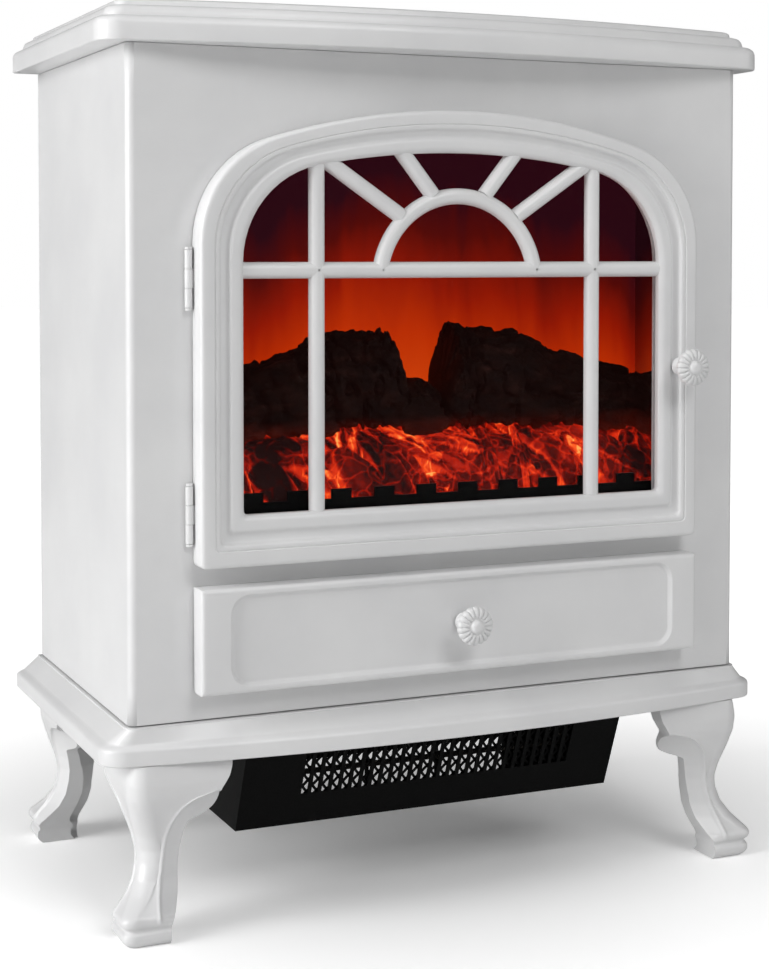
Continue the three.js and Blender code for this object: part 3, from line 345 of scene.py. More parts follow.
def ember_glow():
    """Embers: heat stored on the moulding picks black crust, red, orange or yellow light."""
    ember = finish("ember_glow", (0.02, 0.008, 0.006), 0.7, Specular_IOR_Level=0.06)
    heat = stored_glow_and_painted_light(ember)
    where = place(ember)
    fine = noise(ember, where, 260.0, 4.0, 0.65)
    flecks = noise(ember, where, 90.0, 3.0, 0.6)
    mixed = maths(ember, "MULTIPLY_ADD", fine, 0.34, -0.17)
    mixed = maths(ember, "ADD", mixed, heat)
    mixed = maths(ember, "ADD", mixed, maths(ember, "MULTIPLY_ADD", flecks, 0.35, -0.175))
    warp = node(ember, "ShaderNodeTexNoise", Vector=where, Scale=40.0, Detail=3.0).outputs["Color"]
    shift = node(ember, "ShaderNodeVectorMath", {"operation": "SCALE"}, i0=warp, Scale=0.03).outputs[0]
    bent = node(ember, "ShaderNodeVectorMath", {"operation": "ADD"}, i0=where, i1=shift).outputs[0]
    veins = node(
        ember, "ShaderNodeTexVoronoi", {"feature": "DISTANCE_TO_EDGE"}, Vector=bent, Scale=75.0
    ).outputs["Distance"]
    vein = node(ember, "ShaderNodeMapRange", Value=veins, i1=0.0, i2=0.08, i3=0.2, i4=0.0).outputs[0]
    mixed = maths(ember, "ADD", mixed, vein)
    light = ramp(
        ember,
        mixed,
        (0.10, (0.006, 0.001, 0.001)),
        (0.26, (0.085, 0.002, 0.001)),
        (0.44, (0.34, 0.008, 0.002)),
        (0.64, (0.68, 0.028, 0.005)),
        (0.84, (0.95, 0.11, 0.016)),
        (1.0, (1.0, 0.40, 0.09)),
    )
    feed(ember, "Emission Color", light)
    shader_of(ember).inputs["Emission Strength"].default_value = 1.15
    crust = ramp(ember, fine, (0.3, (0.004, 0.002, 0.002)), (0.7, (0.02, 0.007, 0.005)))
    feed(ember, "Base Color", crust)
    bump(ember, fine, 0.0012, 0.8)
    return ember


def charred_bark():
    """Charred bark: near-black ridges with rusty brown between, and a faint red glow painted on the lower
    side of the log as the light of the embers below.
    """
    bark = finish("charred_bark", (0.02, 0.012, 0.01), 0.72, Specular_IOR_Level=0.08)
    # heat here is the strength of the ember light painted on the log's lower side, read from the UV map
    heat = stored_glow_and_painted_light(bark)
    long = noise(bark, place(bark, (0.35, 1, 1)), 120.0, 6.0, 0.65)
    fine = noise(bark, place(bark), 420.0, 4.0, 0.6)
    tone = ramp(
        bark,
        long,
        (0.32, (0.002, 0.0014, 0.0014)),
        (0.52, (0.009, 0.004, 0.003)),
        (0.72, (0.030, 0.011, 0.008)),
    )
    feed(bark, "Base Color", tone)
    # Painted ember light: a red glow on the lower side of the log, stronger on the bark ridges, standing in
    # for the light of the embers beneath; the log itself does not glow
    rim = maths(bark, "MULTIPLY", heat, long)
    painted_ember_light = ramp(
        bark,
        rim,
        (0.1, (0.0035, 0.0006, 0.0004)),
        (0.45, (0.05, 0.003, 0.001)),
        (0.8, (0.3, 0.02, 0.002)),
    )
    feed(bark, "Emission Color", painted_ember_light)
    shader_of(bark).inputs["Emission Strength"].default_value = 1.0
    both = maths(bark, "ADD", long, maths(bark, "MULTIPLY", fine, 0.5))
    bump(bark, both, 0.0022, 0.9)
    return bark


WHITE = enamel()
BLACK = speckled(
    "black_stove_paint", (0.0022, 0.0022, 0.0022), (0.005, 0.005, 0.005), 0.5, 0.0, 700.0, 0.00005, 0.05
)
PLASTIC = speckled("black_plastic", (0.012, 0.012, 0.012), (0.02, 0.02, 0.02), 0.5, 0.0, 1200.0, 0.00004)
GALVANISED = speckled("galvanised_sheet", (0.42, 0.44, 0.46), (0.60, 0.62, 0.64), 0.38, 1.0, 55.0, 0.00002)
ZINC = speckled("zinc_plate", (0.55, 0.56, 0.58), (0.7, 0.71, 0.73), 0.28, 1.0, 400.0, 0.00002)
MOTOR = speckled("motor_can", (0.03, 0.03, 0.032), (0.07, 0.07, 0.075), 0.45, 0.7, 500.0, 0.00003)
BRASS = speckled("turned_brass", (0.55, 0.40, 0.15), (0.72, 0.55, 0.25), 0.3, 1.0, 300.0, 0.00002)
MICA = speckled("mica_board", (0.05, 0.04, 0.028), (0.10, 0.085, 0.06), 0.6, 0.0, 160.0, 0.00006)
CERAMIC = speckled("ceramic_block", (0.62, 0.60, 0.54), (0.74, 0.72, 0.66), 0.5, 0.0, 300.0, 0.00004)
WIRE = speckled("resistance_wire", (0.20, 0.19, 0.18), (0.34, 0.32, 0.30), 0.4, 0.9, 900.0, 0.00002)
BOARD = speckled("lamp_board", (0.02, 0.14, 0.07), (0.04, 0.20, 0.10), 0.45, 0.0, 500.0, 0.00003)
LINER = speckled("polished_liner", (0.50, 0.50, 0.50), (0.56, 0.56, 0.56), 0.16, 1.0, 60.0, 0.00001)
FOIL = speckled("bright_foil", (0.75, 0.75, 0.75), (0.85, 0.85, 0.85), 0.16, 1.0, 120.0, 0.0001)
GLASS = pane()
FLAMES = flame_glow()
EMBERS = ember_glow()
BARK = charred_bark()

NODE_FINISH = {
    WHITE: "upper_hinge_door_leaf lower_hinge_door_leaf upper_hinge_body_leaf lower_hinge_body_leaf"
    " upper_hinge_pin lower_hinge_pin",
    BLACK: "control_panel control_surround grate_front heater_housing",
    LINER: "firebox_liner",
    PLASTIC: "cord_gland flame_switch low_heat_switch high_heat_switch flame_switch_body"
    " low_heat_switch_body high_heat_switch_body thermostat_knob",
    GALVANISED: "back_panel flap_bracket_left flap_bracket_right thermostat_body",
    ZINC: "door_knob_screw door_strike_plate flap_knob_screw flap_pin_left flap_pin_right",
    MOTOR: "rotor_motor blower_motor blower_scroll blower_wheel",
    BRASS: "rotor_bearing blower_bearing",
    MICA: "element_frame",
    CERAMIC: "terminal_block thermal_cutout",
    WIRE: "heating_wire",
    BOARD: "light_board",
    FOIL: "flame_rotor",
    GLASS: "door_glass",
    FLAMES: "flame_screen",
}
for material, names in NODE_FINISH.items():
    for name in names.split():
        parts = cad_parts[name].data.materials
        parts.clear()
        parts.append(material)


# ---------------------------------------------------------------- mantel and plinth
def bowed_plan(half_w, corner_y, bow, back_y, r, inset):
    """Closed outline in plan: straight sides and back, round front corners, and a front that
    bows forward as 1 - t^2 between them, all drawn in by the inset."""
    w, front, edge_r = half_w - inset, corner_y + inset, max(r - inset * 0.5, 2.0)
    left = curve(-w + edge_r, front + edge_r, edge_r, math.pi, 1.5 * math.pi, 8)
    slope_t = np.linspace(-1, 1, 41)[1:-1]
    middle = np.stack([slope_t * (w - edge_r), front - bow * (1 - slope_t**2)], axis=-1)
    right = left[::-1] * (-1, 1)
    along = back_y + (front + edge_r + 1 - back_y) * np.linspace(0, 1, 9)
    left_side = np.stack([np.full(9, -w), along], axis=-1)
    right_side = np.stack([np.full(9, w), along[::-1]], axis=-1)
    return closed(np.concatenate([left_side, left, middle, right, right_side]))


def drawn_in(ring, centre_y, share):
    """A level ring drawn in towards the board's middle, to a share of its size."""
    middle = np.array([0.0, centre_y])
    return np.concatenate([middle + (ring[:, :2] - middle) * share, ring[:, 2:]], axis=-1)


def board(name, plan, profile, centre_y):
    """A moulded board: the plan outline is drawn in and raised by each (inset, height) of
    the profile in turn, and both faces close on a middle point."""
    rings = [
        np.insert(bowed_plan(*plan, inset), 2, height, axis=-1) for inset, height in profile
    ]
    under = [drawn_in(rings[0], centre_y, share) for share in (0.0, 0.97)]
    over = [drawn_in(rings[-1], centre_y, share) for share in (0.97, 0.0)]
    return skin(name, [np.stack(under + rings + over)], sharp=50)


mantel_profile = eased(
    [(6, 0), (0, 0), (0, 13.5), (3.6, 16.4), (7.4, 16.6), (7.7, 19.0), (9.2, 22.6), (12.6, 24.0),
     (15.2, 24.1), (15.6, 27.2), (18.5, 28.6), (24, 28.6)],
    [0, 1.2, 3.5, 1.5, 0.4, 1.5, 2.0, 1.5, 0.4, 1.2, 1.2, 0],
    4,
)
mantel_profile[:, 1] += MANTEL_Z
settle(
    board("mantel_board", (249, -8, 23, DEPTH, 17), mantel_profile, 110),
    WHITE, "white_board", "stove", "mantel_top",
)

plinth_profile = eased(
    [(6, 0), (0, 0), (0, 11.2), (5.0, 15.0), (15.5, 23.0), (19, 24)],
    [0, 1.2, 2.6, 2.4, 1.0, 0],
    5,
)
plinth_profile[:, 1] += PLINTH_Z


def plinth():
    """The plinth board: vertical moulded edge, then a slope that runs from the bowed front
    up to the straight foot of the casing, so the bow fades out as it rises."""
    rings = []
    for inset, height in plinth_profile:
        fade = np.clip((height - PLINTH_Z - 11) / 12.0, 0, 1)
        outer = bowed_plan(248, -6, 18, DEPTH + 6, 17, min(inset, 3.0))
        inner = bowed_plan(232.5, -2.5, 0, DEPTH + 2.5, 8, 0)
        ring = outer + (inner - outer) * fade
        rings.append(np.insert(ring, 2, height, axis=-1))
    centre_y = 118.0
    under = [drawn_in(rings[0], centre_y, 0.62)]
    over = [drawn_in(rings[-1], centre_y, share) for share in (0.5, 0.0)]
    return skin("plinth_board", [np.stack(under + rings + over)], sharp=50)


settle(plinth(), WHITE, "white_board", "stove", "base_plinth")


# ---------------------------------------------------------------- casing
def arch(half_w, z0, top, crown_r, shoulder_r, foot_r, counts=(5, 12, 14)):
    """Closed arched outline in front view, anticlockwise from the bottom middle: foot
    corners, straight sides, shoulders and a crown that meet without a kink."""
    crown_z = top - crown_r
    sx = half_w - shoulder_r
    sz = crown_z + math.sqrt((crown_r - shoulder_r) ** 2 - sx**2)
    meet = math.atan2(sz - crown_z, sx)
    side = np.linspace(z0 + foot_r, sz, 10)[1:-1]
    right = np.concatenate(
        [
            np.stack([np.linspace(0, half_w - foot_r, 8)[:-1], np.full(7, z0)], axis=-1),
            curve(half_w - foot_r, z0 + foot_r, foot_r, -HALF_PI, 0, counts[0]),
            np.stack([np.full(len(side), half_w), side], axis=-1),
            curve(sx, sz, shoulder_r, 0, meet, counts[1]),
            curve(0, crown_z, crown_r, meet, HALF_PI, counts[2])[1:],
        ]
    )
    left = (right * (-1, 1))[::-1][1:]
    return np.concatenate([right, left])


VIEW = (156.5, CASING_Z + 135.0, CASING_Z + 372.5, 545.0, 65.0, 3.0)
DOOR = (186.8, CASING_Z + 101.5, CASING_Z + 401.0, 456.0, 72.0, 4.0)


def grown(outline, by):
    """The six arch numbers moved outwards by a distance."""
    half_w, z0, top, crown_r, shoulder_r, foot_r = outline
    return (half_w + by, z0 - by, top + by, crown_r + by, shoulder_r + by, max(foot_r + by * 0.5, 0.5))


def casing():
    """Folded sheet: a plan line from the right rear lip round the front to the left rear lip,
    carried up in rows. The rows over the door opening run from its sill s to its arch a as
    z = s + (a - s) t, and from the arch to the casing's top in the same way. The door and
    control openings are left out. The sheet then gets its thickness inwards."""
    half, r, lip = 230.0, 5.0, 14.0
    tray_w = 172.1
    window = arch(*grown(VIEW, 4))
    crown = window[window[:, 1] > VIEW[1] + 100]
    crown = crown[np.argsort(-crown[:, 0])]
    span = crown[:, 0].max()
    upright = span - np.abs(crown[:, 0]) < 0.01
    crown = crown[~upright | (crown[:, 1] > crown[upright, 1].max() - 0.01)]
    spring = crown[0, 1]
    edge = np.array([half - r, half - r - 0.5, half - r - 1.5, 200.0, tray_w + 0.1])
    level = np.full(len(edge), spring)
    xs = np.concatenate([edge, crown[:, 0], -edge[::-1]])
    arch_z = np.concatenate([level, crown[:, 1], level])
    sides = np.array([DEPTH - 1.5, 180, 120, 60, 20, r + 1.5, r + 0.5])
    flank = np.full(len(sides), half)
    right = curve(half - r, r, r, 0, -HALF_PI, 8)[:-1]
    plan = np.concatenate(
        [
            [(half - lip, DEPTH), (half - lip / 2, DEPTH), (half, DEPTH)],
            np.stack([flank, sides], axis=-1),
            right,
            np.stack([xs, np.zeros(len(xs))], axis=-1),
            (right * (-1, 1))[::-1],
            np.stack([-flank, sides[::-1]], axis=-1),
            [(-half, DEPTH), (-half + lip / 2, DEPTH), (-half + lip, DEPTH)],
        ]
    )
    lead = 3 + len(sides) + len(right)
    over = np.full(len(plan), spring)
    over[lead : lead + len(xs)] = arch_z
    z0, z1 = CASING_Z + 0.9, CASING_TOP
    tray_low, tray_top, view_low = CASING_Z + 25.9, CASING_Z + 80.1, VIEW[1] - 4
    full = np.ones(len(plan))
    rows = [
        z0 * full, tray_low * full, tray_top * full, view_low * full,
        *[view_low * full + (over - view_low) * t for t in np.linspace(0, 1, 5)[1:]],
        *[over + (z1 - over) * t for t in np.linspace(0, 1, 6)[1:]],
    ]
    grid = np.stack([np.insert(plan, 2, z, axis=-1) for z in rows])
    count, columns = grid.shape[:2]
    index = np.arange(count * columns).reshape(count, columns)
    quads = np.stack([index[:-1, :-1], index[:-1, 1:], index[1:, 1:], index[1:, :-1]], axis=-1)
    middle = (grid[:-1, :-1] + grid[1:, 1:]) / 2
    front = np.abs(middle[..., 1]) < 0.01
    row = np.arange(count - 1)[:, None]
    tray = front & (np.abs(middle[..., 0]) < tray_w) & (row == 1)
    opening = front & (np.abs(middle[..., 0]) < span) & (row >= 3) & (row <= 6)
    keep = ~(tray | opening)
    piece = shell("casing_sheet", put(grid).reshape(-1, 3), quads[keep], sharp=50, weld=False)
    work = bmesh.new()
    work.from_mesh(piece.data)
    bmesh.ops.delete(work, geom=[v for v in work.verts if not v.link_faces], context="VERTS")
    work.to_mesh(piece.data)
    work.free()
    faces = piece.data.polygons
    normals = np.zeros(len(faces) * 3)
    faces.foreach_get("normal", normals)
    normals = normals.reshape(-1, 3)
    centres = np.zeros(len(faces) * 3)
    faces.foreach_get("center", centres)
    front = np.abs(centres.reshape(-1, 3)[:, 1] - FRONT) < 1e-5
    faces.foreach_set("use_smooth", np.abs(normals).max(axis=1) < 0.9999)
    wall = piece.modifiers.new("wall", "SOLIDIFY")
    wall.thickness = 1.5 * MM
    wall.offset = 1.0 if normals[front, 1].mean() > 0 else -1.0
    return piece


settle(casing(), WHITE, "white_enamel", "stove", "body_shell")


# ---------------------------------------------------------------- legs
def leg(name, side_x, side_y):
    """Cabriole leg. Each level is a loop in plan: front wing, round corner, side wing and
    back faces. Level by level the corner is thrown out or in, the wings end at a scrolled
    edge, and below the knee a raised bead parts the face from a return that leans back."""
    foot_z, shin_z, knee_z = np.linspace(0, 26, 66), np.linspace(26.5, 70, 50), np.linspace(70.5, 114.7, 86)
    z = np.concatenate([foot_z, shin_z, knee_z])
    throw, radius = stations(z, [
        (-2, 2.5, 6), (0.2, 4.0, 6), (2.5, 7.2, 7), (6, 8.0, 7), (9.6, 7.2, 7), (11, 4.6, 7),
        (12.6, 7.6, 7), (16, 9.2, 8), (19, 8.6, 8), (23, 5.0, 9), (29, 0.0, 11), (38, -5.2, 12),
        (48, -7.6, 13), (56, -8.0, 13), (66, -6.0, 13), (80, -1.6, 13), (92, 1.6, 13), (102, 2.2, 12),
        (110, 1.2, 11), (118, -0.5, 10)]).T
    bead, inner = stations(z, [
        (-2, 212, 206.5), (9, 212, 206.5), (13, 213, 206), (20, 213, 202), (28, 211.5, 198.5),
        (36, 209.5, 197), (44, 207.6, 196.4), (54, 206, 195), (66, 204.6, 192.5), (73, 202.6, 190.4),
        (75, 201.8, 184), (77, 200.8, 177), (80, 199, 172.2), (84, 196, 169.6), (88, 191.5, 169),
        (91, 186.5, 169.6), (93.5, 178.5, 170.6), (94.6, 171.2, 171.2), (98, 168.8, 168.8),
        (104, 165, 165), (110, 163.2, 163.2), (116, 162.6, 162.6)]).T
    has_band = np.clip((95.0 - z) / 3.0, 0, 1) * np.clip((z - 12.0) / 6.0, 0, 1)
    corner_x, corner_y = 230.0 + throw, -7.0 - throw
    across = corner_x - inner
    face_t = np.linspace(0, 1, 13)
    band_t = np.linspace(0, 1, 8)
    edge = bead - inner
    rows = []
    band_x = inner[:, None] + edge[:, None] * band_t
    step = has_band[:, None] * (1.1 + 0.42 * edge[:, None] * (1 - band_t))
    band_y = corner_y[:, None] + step
    rim_t = np.linspace(0, 1, 7)
    rim_x = bead[:, None] + 3.4 * rim_t
    lift = has_band[:, None] * (1.1 * (1 - rim_t) ** 4 - 0.85 * np.sin(np.pi * rim_t))
    rim_y = corner_y[:, None] + lift
    flat_x = (bead + 3.4)[:, None] + ((corner_x - radius) - (bead + 3.4))[:, None] * face_t[1:]
    hollow = 0.35 * np.sin(np.pi * face_t[1:]) * has_band[:, None]
    flat_y = corner_y[:, None] + hollow
    turn = np.linspace(0, HALF_PI, 13)[1:-1]
    round_x = (corner_x - radius)[:, None] + radius[:, None] * np.sin(turn)
    round_y = (corner_y + radius)[:, None] - radius[:, None] * np.cos(turn)
    half_x = np.concatenate([band_x, rim_x[:, 1:], flat_x], axis=1)
    half_y = np.concatenate([band_y, rim_y[:, 1:], flat_y], axis=1)
    mirror_x = corner_x[:, None] - (half_y - corner_y[:, None])
    mirror_y = corner_y[:, None] + (corner_x[:, None] - half_x)
    wall = stations(z, [(-2, 25), (18, 25), (30, 20), (60, 15), (118, 14)])[:, 0]
    end = (corner_y + corner_x - inner)
    back_x = np.stack([corner_x - wall, corner_x - wall, inner], axis=1)
    back_y = np.stack([end, corner_y + wall, corner_y + wall], axis=1)
    x = np.concatenate([half_x, round_x, mirror_x[:, ::-1], back_x, half_x[:, :1]], axis=1)
    y = np.concatenate([half_y, round_y, mirror_y[:, ::-1], back_y, half_y[:, :1]], axis=1)
    middle = DEPTH / 2
    levels = np.stack(
        [side_x * x, middle + side_y * (middle - y), np.broadcast_to(z[:, None], x.shape)], axis=-1
    )
    hub = np.array([side_x * 216.0, middle + side_y * (middle - 8.0)])
    foot, top = levels[:1].copy(), levels[-1:].copy()
    foot[..., :2] = hub
    top[..., :2] = hub
    return skin(name, [np.concatenate([foot, levels, top])], sharp=42)


for name, side_x, side_y in (
    ("front_left", -1, 1), ("front_right", 1, 1), ("rear_left", -1, -1), ("rear_right", 1, -1)
):
    piece = leg("cabriole_leg_" + name, side_x, side_y)
    settle(piece, WHITE, "white_moulding", "stove", "leg_" + name)


# ---------------------------------------------------------------- door
def door_frame():
    """Moulded frame: each point of the section (share of the way in, depth) is a loop part
    of the way from the outer arch to the glazed arch. The section closes on itself."""
    outer, inner = arch(*DOOR), arch(*VIEW)
    width = 30.4
    section = eased(
        [(0, -0.6), (0, -17.5), (9.4, -17.5), (9.9, -16.7), (10.6, -17.3), (13.2, -17.0), (14.0, -14.6),
         (18.2, -13.2), (19.6, -13.6), (21.4, -15.8), (27.6, -15.9), (30.4, -13.2), (30.4, -9.1),
         (24.4, -9.1), (24.4, -0.6), (12, -0.6), (0, -0.6)],
        [0, 3.2, 0.3, 0.25, 0.9, 1.2, 1.6, 1.2, 0.8, 1.2, 1.9, 0.8, 0, 0, 0, 0, 0],
        5,
    )
    share = section[:, :1, None] / width
    loops = outer[None] + (inner - outer)[None] * share
    depth = np.broadcast_to(section[:, 1:, None], (*loops.shape[:2], 1))
    grid = np.concatenate([loops[..., :1], depth, loops[..., 1:]], axis=-1)
    return skin("door_moulding", [grid], sharp=46)


settle(door_frame(), WHITE, "white_moulding", "door", "door_frame")

BAR_SECTION = eased(
    [(-5.4, -7.6), (-5.4, -9.6), (-4.3, -12.2), (-2.0, -13.9), (2.0, -13.9), (4.3, -12.2), (5.4, -9.6),
     (5.4, -7.6), (-5.4, -7.6)],
    [0, 1.2, 1.6, 1.4, 1.4, 1.6, 1.2, 0, 0],
    4,
)


def glazing_bar(path):
    """The bar section carried along a path in front view, square to it at each point. Both
    ends close on their middle."""
    path = np.array(path, float)
    along = np.gradient(path, axis=0)
    along /= np.linalg.norm(along, axis=1, keepdims=True)
    side = np.stack([along[:, 1], -along[:, 0]], axis=-1)
    flat = path[:, None] + side[:, None] * BAR_SECTION[None, :, :1]
    depth = np.broadcast_to(BAR_SECTION[None, :, 1:], (*flat.shape[:2], 1))
    rows = np.concatenate([flat[..., :1], depth, flat[..., 1:]], axis=-1)
    hub = lambda row: np.broadcast_to(row.mean(0), row.shape)[None]
    return np.concatenate([hub(rows[0]), rows, hub(rows[-1])])


def lattice():
    """Glazing bars: a cross bar, two uprights, a half ring and four rays."""
    z = CASING_Z + 293.6
    line = lambda *ends: np.linspace(ends[:2], ends[2:], 3)
    ring = curve(0, z - 8.8, 58.7, 0.13, math.pi - 0.13, 48)
    bars = [
        line(-160, z, 160, z),
        line(-104, VIEW[1] - 3, -104, VIEW[2] - 6),
        line(104, VIEW[1] - 3, 104, VIEW[2] - 6),
        ring,
    ]
    for side in (-1, 1):
        bars.append(line(side * 43, z + 36, side * 99, z + 73.5))
        bars.append(line(side * 19.5, z + 50.5, side * 44, z + 81))
    return skin("glazing_bars", [glazing_bar(bar) for bar in bars], sharp=46)


settle(lattice(), WHITE, "white_moulding", "door", "door_lattice")


def daisy_knob(name, x, z):
    """Pull turned about its own axis: section points (radius, depth), with the cap's rim
    and face swollen into petals by the round part of a circle between sharp valleys."""
    section = eased(
        [(0.0, -17.6), (6.6, -17.6), (6.2, -19.2), (4.4, -21.0), (4.2, -27.0), (6.0, -30.2), (12.2, -32.4),
         (13.2, -34.2), (13.1, -36.0), (11.6, -38.2), (7.4, -39.4), (5.4, -38.6), (4.8, -38.7), (4.3, -40.2),
         (2.6, -41.3), (0.0, -41.5)],
        [0, 0.5, 0.6, 1.5, 2.0, 1.5, 1.0, 1.0, 1.2, 2.0, 1.2, 0.4, 0.3, 0.9, 1.0, 0],
        5,
    )
    r, depth = section[:, :1], section[:, 1:]
    petals = 18
    a = np.linspace(0, 2 * math.pi, petals * 10 + 1)[None]
    phase = (a * petals / (2 * math.pi)) % 1.0
    swell = np.sqrt(np.clip(1 - (2 * phase - 1) ** 2, 0, 1))
    petal_zone = np.clip((r - 5.2) / 2.0, 0, 1) * np.clip((-depth - 31.5) / 1.5, 0, 1)
    radius = r - 0.9 * petal_zone * (1 - swell) * np.clip((r - 9) / 3, 0, 1)
    front = depth + 1.15 * petal_zone * (1 - swell) * np.clip((-depth - 36.2) / 2.0, 0, 1)
    a = np.broadcast_to(a, radius.shape)
    front = np.broadcast_to(front, radius.shape)
    grid = np.stack([x + radius * np.cos(a), front, z + radius * np.sin(a)], axis=-1)
    return skin(name, [grid], sharp=60)


settle(daisy_knob("door_pull", 171.6, CASING_Z + 224), WHITE, "white_moulding", "door", "door_knob")
settle(daisy_knob("flap_pull", 0.0, CASING_Z + 54), WHITE, "white_moulding", "flap", "flap_knob")


# ---------------------------------------------------------------- flap
def soft_rectangle(x0, x1, z0, z1, r):
    """Closed rectangle in front view with round corners, the same count of points whatever
    its size, so loops of different sizes join."""
    sides = [
        curve(x1 - r, z0 + r, r, -HALF_PI, 0, 8),
        curve(x1 - r, z1 - r, r, 0, HALF_PI, 8),
        curve(x0 + r, z1 - r, r, HALF_PI, math.pi, 8),
        curve(x0 + r, z0 + r, r, math.pi, 1.5 * math.pi, 8),
    ]
    return closed(np.concatenate(sides))


def flap():
    """Pressed flap: loops from its back edge round the eased rim, across the flat border,
    down the soft slope into the sunk field and across it, then back inside the shell. The
    heel is drawn in to the circle y^2 + z^2 = r^2 about the hinge pins, so it can swing."""
    half_w, z0, z1 = 186.8, CASING_Z + 19.4, CASING_Z + 88.3
    field_w, field_z0, field_z1 = 166.8, CASING_Z + 23.8, CASING_Z + 83.8
    heel_r, pin_y = 4.2, -4.8
    floor_y, inner_y = -14.6, -12.1

    def rim(inset, r):
        return soft_rectangle(-half_w + inset, half_w - inset, z0 + inset, z1 - inset, r)

    edge = eased([(0, -0.6), (0, -17.5), (10, -17.5)], [0, 3.2, 0], 6)
    heel = [(0.0, depth) for depth in (-0.6, -1.6, -2.7, -3.8, pin_y)]
    loops = [(rim(inset, 0.6 + inset), depth) for inset, depth in heel + list(edge[1:-1])]
    slope = eased([(-1.1, -17.5), (0, -17.5), (2.4, floor_y), (8, floor_y)], [0, 0.5, 0.9, 0], 5)
    for inset, depth in slope:
        field = soft_rectangle(
            -field_w + inset, field_w - inset, field_z0 + inset, field_z1 - inset, max(13 - inset, 2)
        )
        loops.append((field, depth))
    last = loops[-1][0]
    middle = np.array([0.0, CASING_Z + 53.8])
    loops.append(((middle + last) / 2, floor_y))
    loops.append((np.broadcast_to(middle, last.shape), floor_y))
    behind = [(np.broadcast_to(middle, last.shape), inner_y)]
    behind += [(rim(inset, 1.5), depth) for inset, depth in ((8, inner_y), (3.2, -11.9), (3.2, -0.6))]
    grid = np.stack(
        [np.stack([f[:, 0], np.full(len(f), d), f[:, 1]], axis=-1) for f, d in behind + loops]
    )
    back_of, above = grid[..., 1] - pin_y, grid[..., 2] - z0 - heel_r
    reach = np.hypot(back_of, above)
    pull = np.where((back_of > 0) & (above < 0) & (reach > heel_r), heel_r / np.maximum(reach, 1), 1)
    grid[..., 1] = back_of * pull + pin_y
    grid[..., 2] = above * pull + z0 + heel_r
    return skin("flap_panel", [grid], sharp=46)


settle(flap(), WHITE, "white_enamel", "flap", "control_flap")


# ---------------------------------------------------------------- fire
def stroke_height(x, y, sticks):
    """Height and heat of a bed of charred sticks: each stick is a long half-round hump and
    the tallest hump wins; heat is high in the cracks between humps and on a few sticks."""
    height = np.full(x.shape, -30.0)
    heat, cover, grainy = np.zeros((3, *x.shape))
    for cx, cy, angle, length, width, rise, warmth in sticks:
        c, s = math.cos(angle), math.sin(angle)
        u = ((x - cx) * c + (y - cy) * s) / length
        v = (-(x - cx) * s + (y - cy) * c) / width
        ragged = 0.16 * clouds(x / 9.0 + cx, y / 9.0, u * 0 + cy, 2)
        inside = 1 - np.abs(u) ** 5 - (v * v) + ragged
        hump = rise + 0.62 * width * np.sqrt(np.clip(inside, 0, None)) - 6 * (inside <= 0)
        taller = hump > height
        height = np.where(taller, hump, height)
        cover = np.where(taller, np.clip(inside, 0, 1), cover)
        heat = np.where(taller, warmth, heat)
        grainy = np.where(taller, clouds(u * 3.0 + cx, v * 2.2 + cy, u * 0 + angle, 4), grainy)
    return height, heat, cover, grainy


def ember_moulding():
    """The glowing bed: a front lip at height 272 that rises by 30 sin(t pi / 2) over its first
    20 mm and by 22 more over the next 30, with a crowd of charred sticks laid on it. Heat is
    written on the points for the light: high in the cracks and on the warm sticks."""
    rng = np.random.default_rng(7)
    count = 130
    cx = rng.uniform(-206, 206, count)
    cy = rng.uniform(12, 92, count)
    angle = rng.normal(-0.35, 0.8, count)
    length = rng.uniform(20, 46, count)
    width = rng.uniform(5.0, 9.5, count)
    rise = rng.uniform(-5, 4.5, count)
    warmth = rng.choice([0.1, 0.32, 0.5, 0.8], count, p=[0.24, 0.30, 0.28, 0.18])
    half_w, front_y, back_y = 200, 13.6, 94
    x, y = np.meshgrid(np.linspace(-half_w, half_w, 620), np.linspace(front_y, back_y, 150))
    humps, heat, cover, fibres = stroke_height(x, y, zip(cx, cy, angle, length, width, rise, warmth))
    front = np.clip((y - front_y) / 20.0, 0, 1)
    fall = np.clip((y - 30) / 30.0, 0, 1)
    swell = 10.0 * clouds(x / 70.0, y / 60.0, y * 0 + 3.3, 2)
    base = 272.0 + 30.0 * np.sin(front * HALF_PI) ** 0.9 + 22.0 * fall + swell * front
    relief = humps + 1.6 * fibres + 1.1 * clouds(x / 3.5, y / 3.5, y * 0, 3)
    z = base + np.clip(relief, -4.0, 12.0) * (0.45 + 0.55 * front)
    crack = np.exp(-((cover / 0.22) ** 2))
    streak = np.clip(fibres * 2.4 + 0.45, 0, 1)
    patchy = clouds(x / 40.0, y / 30.0, y * 0 + 7.7, 3)
    glow = 0.15 + 0.36 * crack + 0.72 * heat * streak + 0.5 * patchy
    glow = glow * (1.0 - 0.35 * np.clip((y - 46) / 30.0, 0, 1))
    grid = np.stack([x, y, z], axis=-1)
    piece = skin("ember_moulding", [grid], sharp=180)
    write_glow_and_painted_light(piece, glow.reshape(-1))
    wall = piece.modifiers.new("wall", "SOLIDIFY")
    wall.thickness = 2.0 * MM
    wall.offset = -1.0
    return piece


def write_glow_and_painted_light(piece, values):
    """Stores one number for each point of a piece, as the first number of its UV map named heat: the glow of
    the embers, and on the logs the ember light painted on their lower sides.
    """
    corners = np.zeros(len(piece.data.loops), dtype=np.int32)
    piece.data.loops.foreach_get("vertex_index", corners)
    pairs = np.stack([values[corners], 0 * values[corners]], axis=-1)
    layer = piece.data.uv_layers.new(name="heat")
    layer.data.foreach_set("uv", pairs.reshape(-1))


settle(ember_moulding(), EMBERS, "glowing_embers", "stove", "ember_bed")


